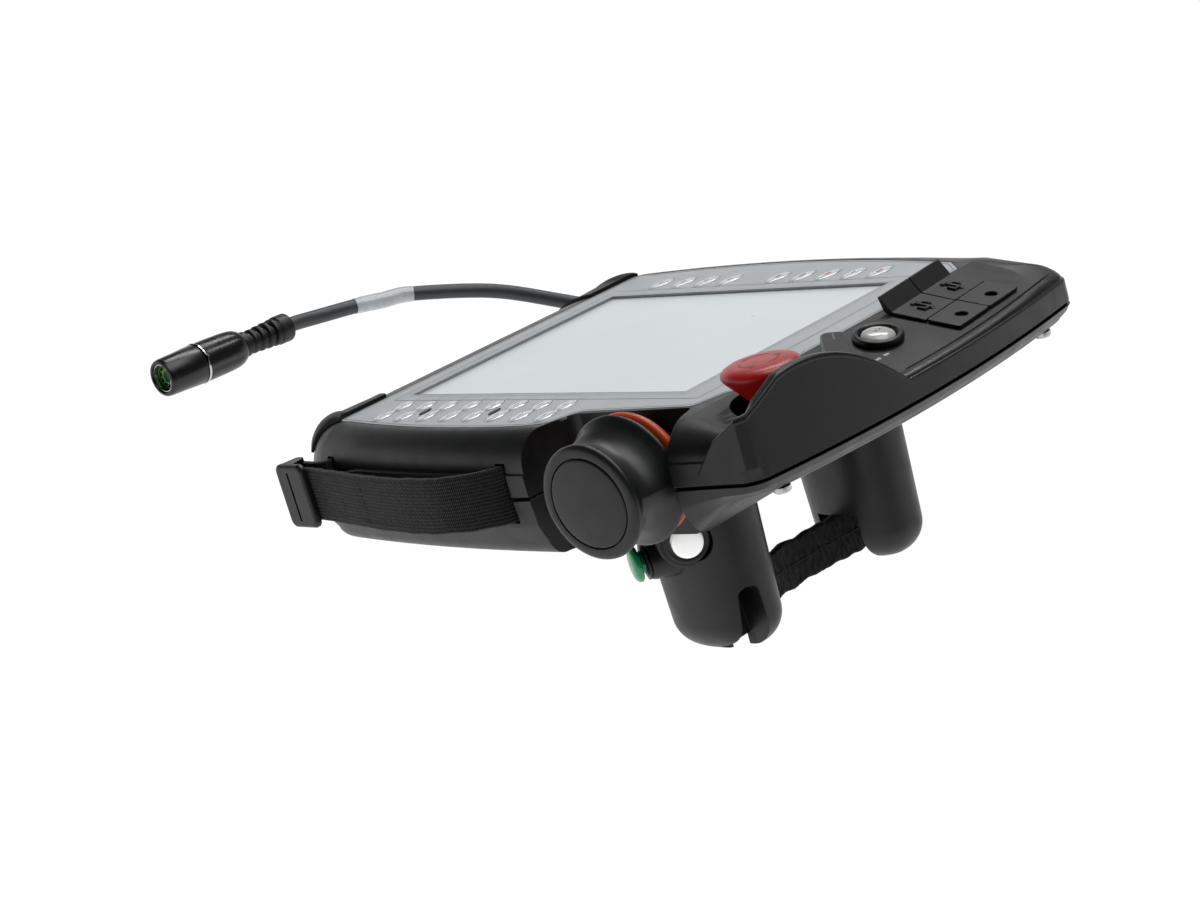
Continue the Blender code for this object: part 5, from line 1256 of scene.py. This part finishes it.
def make_dome(hand, side):
    """A grip dome with its rounded end, its pocket for the dome strap and its switch bosses."""
    top = REAR_DEEP - GAP
    rings = [dome_ring(z, side) for z in (top, -68.0, -84.0)]
    for i in range(13):
        turn = math.radians(90 * i / 12)
        height = DOME_BOTTOM + DOME_FILLET * (1 - math.sin(turn))
        rings.append(dome_ring(height, side, DOME_FILLET * (1 - math.cos(turn))))
    dome = loft(f"palm_dome_{hand}", rings, HOUSING)
    switch = (mirrored(SWITCH_AT, side), mirrored(SWITCH_AXIS, side))
    near, far = sorted((side * (DOME_AT[0] - DOME_HALF[0] - 12), side * (DOME_AT[0] + POCKET_WALL)))
    steps = joins(bored([(13.6, -22.0), (12.6, -6.0), (12.3, -2.2), (11.9, -1.4), (11.2, -1.0)], *switch))
    if side > 0:
        steps += joins(bored([(11.0, -20.0), (9.6, -9.0), (8.6, -3.6), (8.2, -2.4)], START_AT, START_AXIS))
    steps += cuts(
        tool(box, (-130, 0, top), (130, 130, 20)),
        bored([(7.5, -20.0), (7.5, -0.9), (10.1, -0.9), (10.1, 9.0)], *switch),
        tool(box, (near, DOME_AT[1] - 13.0, DOME_BOTTOM - 5), (far, DOME_AT[1] + 9.6, POCKET_TOP)),
    )
    if side > 0:
        slit = rounded([(47.0, -130.0, 0), (60.6, -130.0, 0), (58.2, -87.2, 3.4), (50.4, -87.2, 3.4)], 0, 10)
        steps += cuts(
            tool(prism, slit, -90.0, -67.5, place=PENDANT @ Matrix.Rotation(math.radians(90), 4, "X")),
            tool(box, (48.0, 60.0, DOME_BOTTOM - 10), (59.6, 70.0, DOME_BOTTOM + 6)),
            bored([(5.6, -16.0), (5.6, -2.1), (8.4, -2.1), (8.4, 9.0)], START_AT, START_AXIS),
        )
    stands_for(carve(dome, steps, 22), f"grip_dome_{hand}")


def make_dome_switches():
    """White enabling keys in black sockets, and the green start key."""
    socket = [(7.2, -12.0), (7.2, -0.6), (9.7, -0.6), (9.8, -0.3), (9.8, 0.4), (9.6, 0.9), (9.1, 1.2), (8.0, 1.15),
              (7.3, 0.9), (6.9, 0.4), (6.8, -0.2), (6.8, -9.8)]
    cap = [(6.5, -6.0), (6.5, 2.6), (6.4, 3.1), (6.1, 3.7), (5.5, 4.2), (4.6, 4.55), (3.2, 4.8), (1.6, 4.95),
           (0.3, 5.0)]
    for hand, side in HANDS:
        place = stand(mirrored(SWITCH_AT, side), mirrored(SWITCH_AXIS, side))
        turned(f"enabling_switch_{hand}", f"enabling_socket_{hand}", socket, FITTING, "pendant", place)
        turned(f"enabling_button_{hand}", f"enabling_cap_{hand}", cap, KEY_WHITE_PAINTED_GLOW, f"enabling_key_{hand}", place)
    place = stand(START_AT, START_AXIS)
    socket = [(5.3, -11.2), (5.3, -1.8), (7.9, -1.8), (8.0, -1.6), (8.0, -1.1), (7.7, -0.8), (5.8, -0.3),
              (5.3, -0.3), (4.9, -0.5), (4.9, -9.2)]
    cap = [(4.5, -7.0), (4.5, 1.3), (7.1, 1.4), (7.6, 1.75), (7.8, 2.4), (7.6, 3.2), (7.0, 3.95), (6.0, 4.5),
           (4.6, 4.85), (2.4, 5.05), (0.3, 5.1)]
    turned("start_switch", "start_socket", socket, FITTING, "pendant", place, 72)
    turned("start_button", "start_cap", cap, KEY_GREEN, "start_key", place, 72)


# ---------------------------------------------------------------- webbing
def webbing(name, path, thickness, span, look, node, wave, fuzz=0.0):
    """Flat webbing along a path in X, Y between two heights, with soft edges and its own length and
    width as UV in metres."""
    low, high = span
    half, middle = thickness / 2, (low + high) / 2
    section = [(-half, low + 0.35), (-half * 0.75, low + 0.05), (half * 0.75, low + 0.05), (half, low + 0.35)]
    section += [(half, low + (high - low) * k / 12) for k in range(1, 12)]
    section += [(half, high - 0.35), (half * 0.75, high - 0.05), (-half * 0.75, high - 0.05), (-half, high - 0.35)]
    section += [(-half, high - (high - low) * k / 12) for k in range(1, 12)]
    rings, marks = [], []
    run = 0.0
    for i, point in enumerate(path):
        run += (point - path[max(i - 1, 0)]).length
        ahead = ahead_of(path, i)
        normal = Vector((-ahead.y, ahead.x)).normalized()
        ring = []
        for out, z in section:
            edge = (z - middle) / (middle - low)
            sway = wave * noise.noise(Vector((run * 0.12, z * 0.02, 1.0))) * edge
            reach = out * (1.0 + fuzz * noise.noise(Vector((run * 0.9, z * 0.9, out))))
            ring.append((*(point + normal * reach), z + sway))
            marks.append((run * MM, (z - low) * MM))
        rings.append(ring)
    strap = loft(name, rings, look, angle=60)
    layer = strap.data.uv_layers.new(name="length_and_width")
    for loop in strap.data.loops:
        layer.data[loop.index].uv = marks[loop.vertex_index]
    stands_for(strap, node)


def diamond(centre, across, out):
    """Four-sided section of a thread."""
    return [centre + across, centre + out, centre - across, centre - out]


def strap_face(path, y):
    """The point of a hand strap's path at this Y, and the way out from the hand there."""
    i = min(range(1, len(path) - 1), key=lambda m: abs(path[m].y - y))
    a, b = (path[i], path[i + 1]) if (path[i + 1].y - y) * (path[i].y - y) <= 0 else (path[i - 1], path[i])
    share = (y - a.y) / (b.y - a.y) if abs(b.y - a.y) > 1e-6 else 0.5
    here = a + (b - a) * min(1.0, max(0.0, share))
    out = Vector((b.y - a.y, a.x - b.x)).normalized()
    return here, -out if out.x * here.x < 0 else out


def stitch_rows(name, path, rows):
    """Thread stitches on the outer face. Each row is (start y, height, end y, end height), in mm."""
    stacks = []
    for y0, z0, y1, z1 in rows:
        steps = max(2, round(math.hypot(y1 - y0, z1 - z0) / STITCH_PITCH))
        for k in range(steps):
            stack = []
            for s, lift, size in ((0.12, 0.02, 0.1), (0.5, 0.2, 0.24), (0.88, 0.02, 0.1)):
                here, out = strap_face(path, y0 + (y1 - y0) * (k + s) / steps)
                centre = Vector((*(here + out * (STRAP_THICK / 2 + lift)), z0 + (z1 - z0) * (k + s) / steps))
                across = Vector((0.0, 0.0, 1.0)) if abs(y1 - y0) > abs(z1 - z0) else Vector((-out.y, out.x, 0.0))
                stack.append(diamond(centre, across * size, Vector((*out, 0.0)) * size * 0.7))
            stacks.append(stack)
    finished_as(solid(name, *skins(stacks, (0, -1)), THREAD))


def make_hand_strap(hand, side):
    """Webbing from the upper slot, out over the hand, round the buckle's bar and back in."""
    turn_r = BUCKLE_BAR_R + 0.2 + STRAP_THICK / 2
    upper, lower = [wall_side(y) - STRAP_POCKET + GAP for y in STRAP_ENDS]
    outer = smooth_path([
        (upper, 24.0), (115.6, 23.0), (118.6, 20.0), (124.0, 11.0), (128.2, -2.0), (129.4, -18.0),
        (128.6, -36.0), (126.0, -58.0), (122.4, -80.0), (120.6, -93.0), (120.6, -101.0),
    ], 12)
    path = list(outer)
    for angle in range(0, 181, 10):
        turn = math.radians(angle)
        path.append(Vector((BUCKLE_BAR[0] + turn_r * math.cos(turn), BUCKLE_BAR[1] - turn_r * math.sin(turn))))
    path += smooth_path([(113.8, -103.0), (113.6, -98.6), (112.2, -94.6), (lower, STRAP_ENDS[1])], 6)
    path = [Vector((side * p.x, p.y)) for p in path]
    name, node = f"hand_webbing_{hand}", f"hand_strap_{hand}"
    webbing(name, path, STRAP_THICK, STRAP_SPAN, WEBBING, node, 0.5)
    low, high = STRAP_SPAN[0] + 2.6, STRAP_SPAN[1] - 2.6
    rows = [
        (-88.0, low, -88.0, high), (-72.0, low, -72.0, high), (-88.0, low, -72.0, low),
        (-88.0, high, -72.0, high), (-58.0, low, -58.0, high), (-58.0, low, -30.0, low),
        (-58.0, high, -30.0, high), (-53.0, low, -53.0, high),
    ]
    stitch_rows(f"{name}_stitches", path[20 : len(outer)], rows)


def make_dome_strap():
    """Hook-and-loop strap between the domes: loop pile, a centre seam and an uneven lower edge."""
    half = [(20.0, 50.5), (36.0, 52.0), (DOME_AT[0] + POCKET_WALL - GAP, 51.5)]
    path = smooth_path([(-x, y) for x, y in reversed(half)] + [(0.0, 49.0)] + half, 24)
    span = (DOME_BOTTOM + 3.5, POCKET_TOP - 0.5)
    webbing("palm_strap", path, 3.2, span, VELOUR, "dome_strap", 1.6, 0.35)
    stacks = []
    for i in range(6, len(path) - 6):
        ahead = path[i + 1] - path[i]
        normal = Vector((-ahead.y, ahead.x)).normalized()
        z = sum(span) / 2 + 0.8 * noise.noise(Vector((i * 0.11, 0.0, 3.0)))
        stacks.append([
            diamond(Vector((*(path[i] + ahead * share + normal * 1.7), z)), Vector((0.0, 0.0, size)),
                    Vector((*(normal * size), 0.0)))
            for share, size in ((0.1, 0.12), (0.5, 0.3), (0.9, 0.12))
        ])
    finished_as(solid("palm_strap_seam", *skins(stacks, ()), THREAD))


def make_buckle(hand, side):
    """Moulded buckle: a slotted, chamfered plate over the webbing, with a bar between two ears."""
    inner, thick = BUCKLE_PLATE
    low, high = STRAP_SPAN[0] - BUCKLE_MARGIN, STRAP_SPAN[1] + BUCKLE_MARGIN
    bottom, top = BUCKLE_SPAN

    def drawn_in(value, start, end, shrink):
        return value - max(-1.0, min(1.0, (value - (start + end) / 2) / 4)) * shrink

    outline = rounded([(low, top), (high, top), (high, bottom), (low, bottom)], 3.0, 8)
    profile = ((0.0, 0.5), (0.06, 0.15), (0.15, 0.0), (0.6, 0.0), (0.78, 0.25), (0.9, 0.7), (0.97, 1.2), (1.0, 1.8))
    rings = [
        [(side * (inner + thick * share), drawn_in(y, bottom, top, shrink), drawn_in(z, low, high, shrink))
         for z, y in outline]
        for share, shrink in profile
    ]
    buckle = loft(f"webbing_buckle_{hand}", rings, FITTING)
    bar_x, bar_y = BUCKLE_BAR
    steps = joins(tool(lathe, [(BUCKLE_BAR_R, low + 1.0), (BUCKLE_BAR_R, high - 1.0)],
                       place=PENDANT @ Matrix.Translation((side * bar_x, bar_y, 0.0)), segments=40))
    reach, tip = inner + 1.0, bar_x - 2.6
    corners = [(tip, bar_y - 2.6), (reach, bar_y - 4.0, 0), (reach, bar_y + 4.0, 0), (tip, bar_y + 2.6)]
    ear = [(side * x, y) for x, y in rounded(corners, 2.0, 6)]
    steps += joins(*[tool(prism, ear, start, start + 1.9) for start in (low + 0.1, high - 2.0)])
    steps += cuts(tool(
        box, (side * inner - 3.0, bar_y + 1.0, STRAP_SPAN[0] + 0.8),
        (side * inner + 6.0, bar_y + 2.2, STRAP_SPAN[1] - 0.8),
    ))
    stands_for(carve(buckle, steps, 25), f"strap_buckle_{hand}")


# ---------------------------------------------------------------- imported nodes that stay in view
def dress_nodes():
    """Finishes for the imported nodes, so that those no finer piece stands for fit in."""
    for part in frame["record"]["subparts"]:
        look = SLOT_LOOK.get(part.get("material_slot"))
        node = frame["nodes"].get(part.get("node"))
        if node is None or look is None:
            continue
        node.data.materials.clear()
        node.data.materials.append(look)
        node.data.shade_flat()


make_shells()
make_foil()
for hand, side in HANDS:
    make_guard(hand, side)
    make_dome(hand, side)
    make_hand_strap(hand, side)
    make_buckle(hand, side)
make_screws()
make_cable_cover()
make_estop()
make_selector()
make_disconnect()
make_ports()
make_mouse()
make_dome_switches()
make_dome_strap()
dress_nodes()
make_studio()
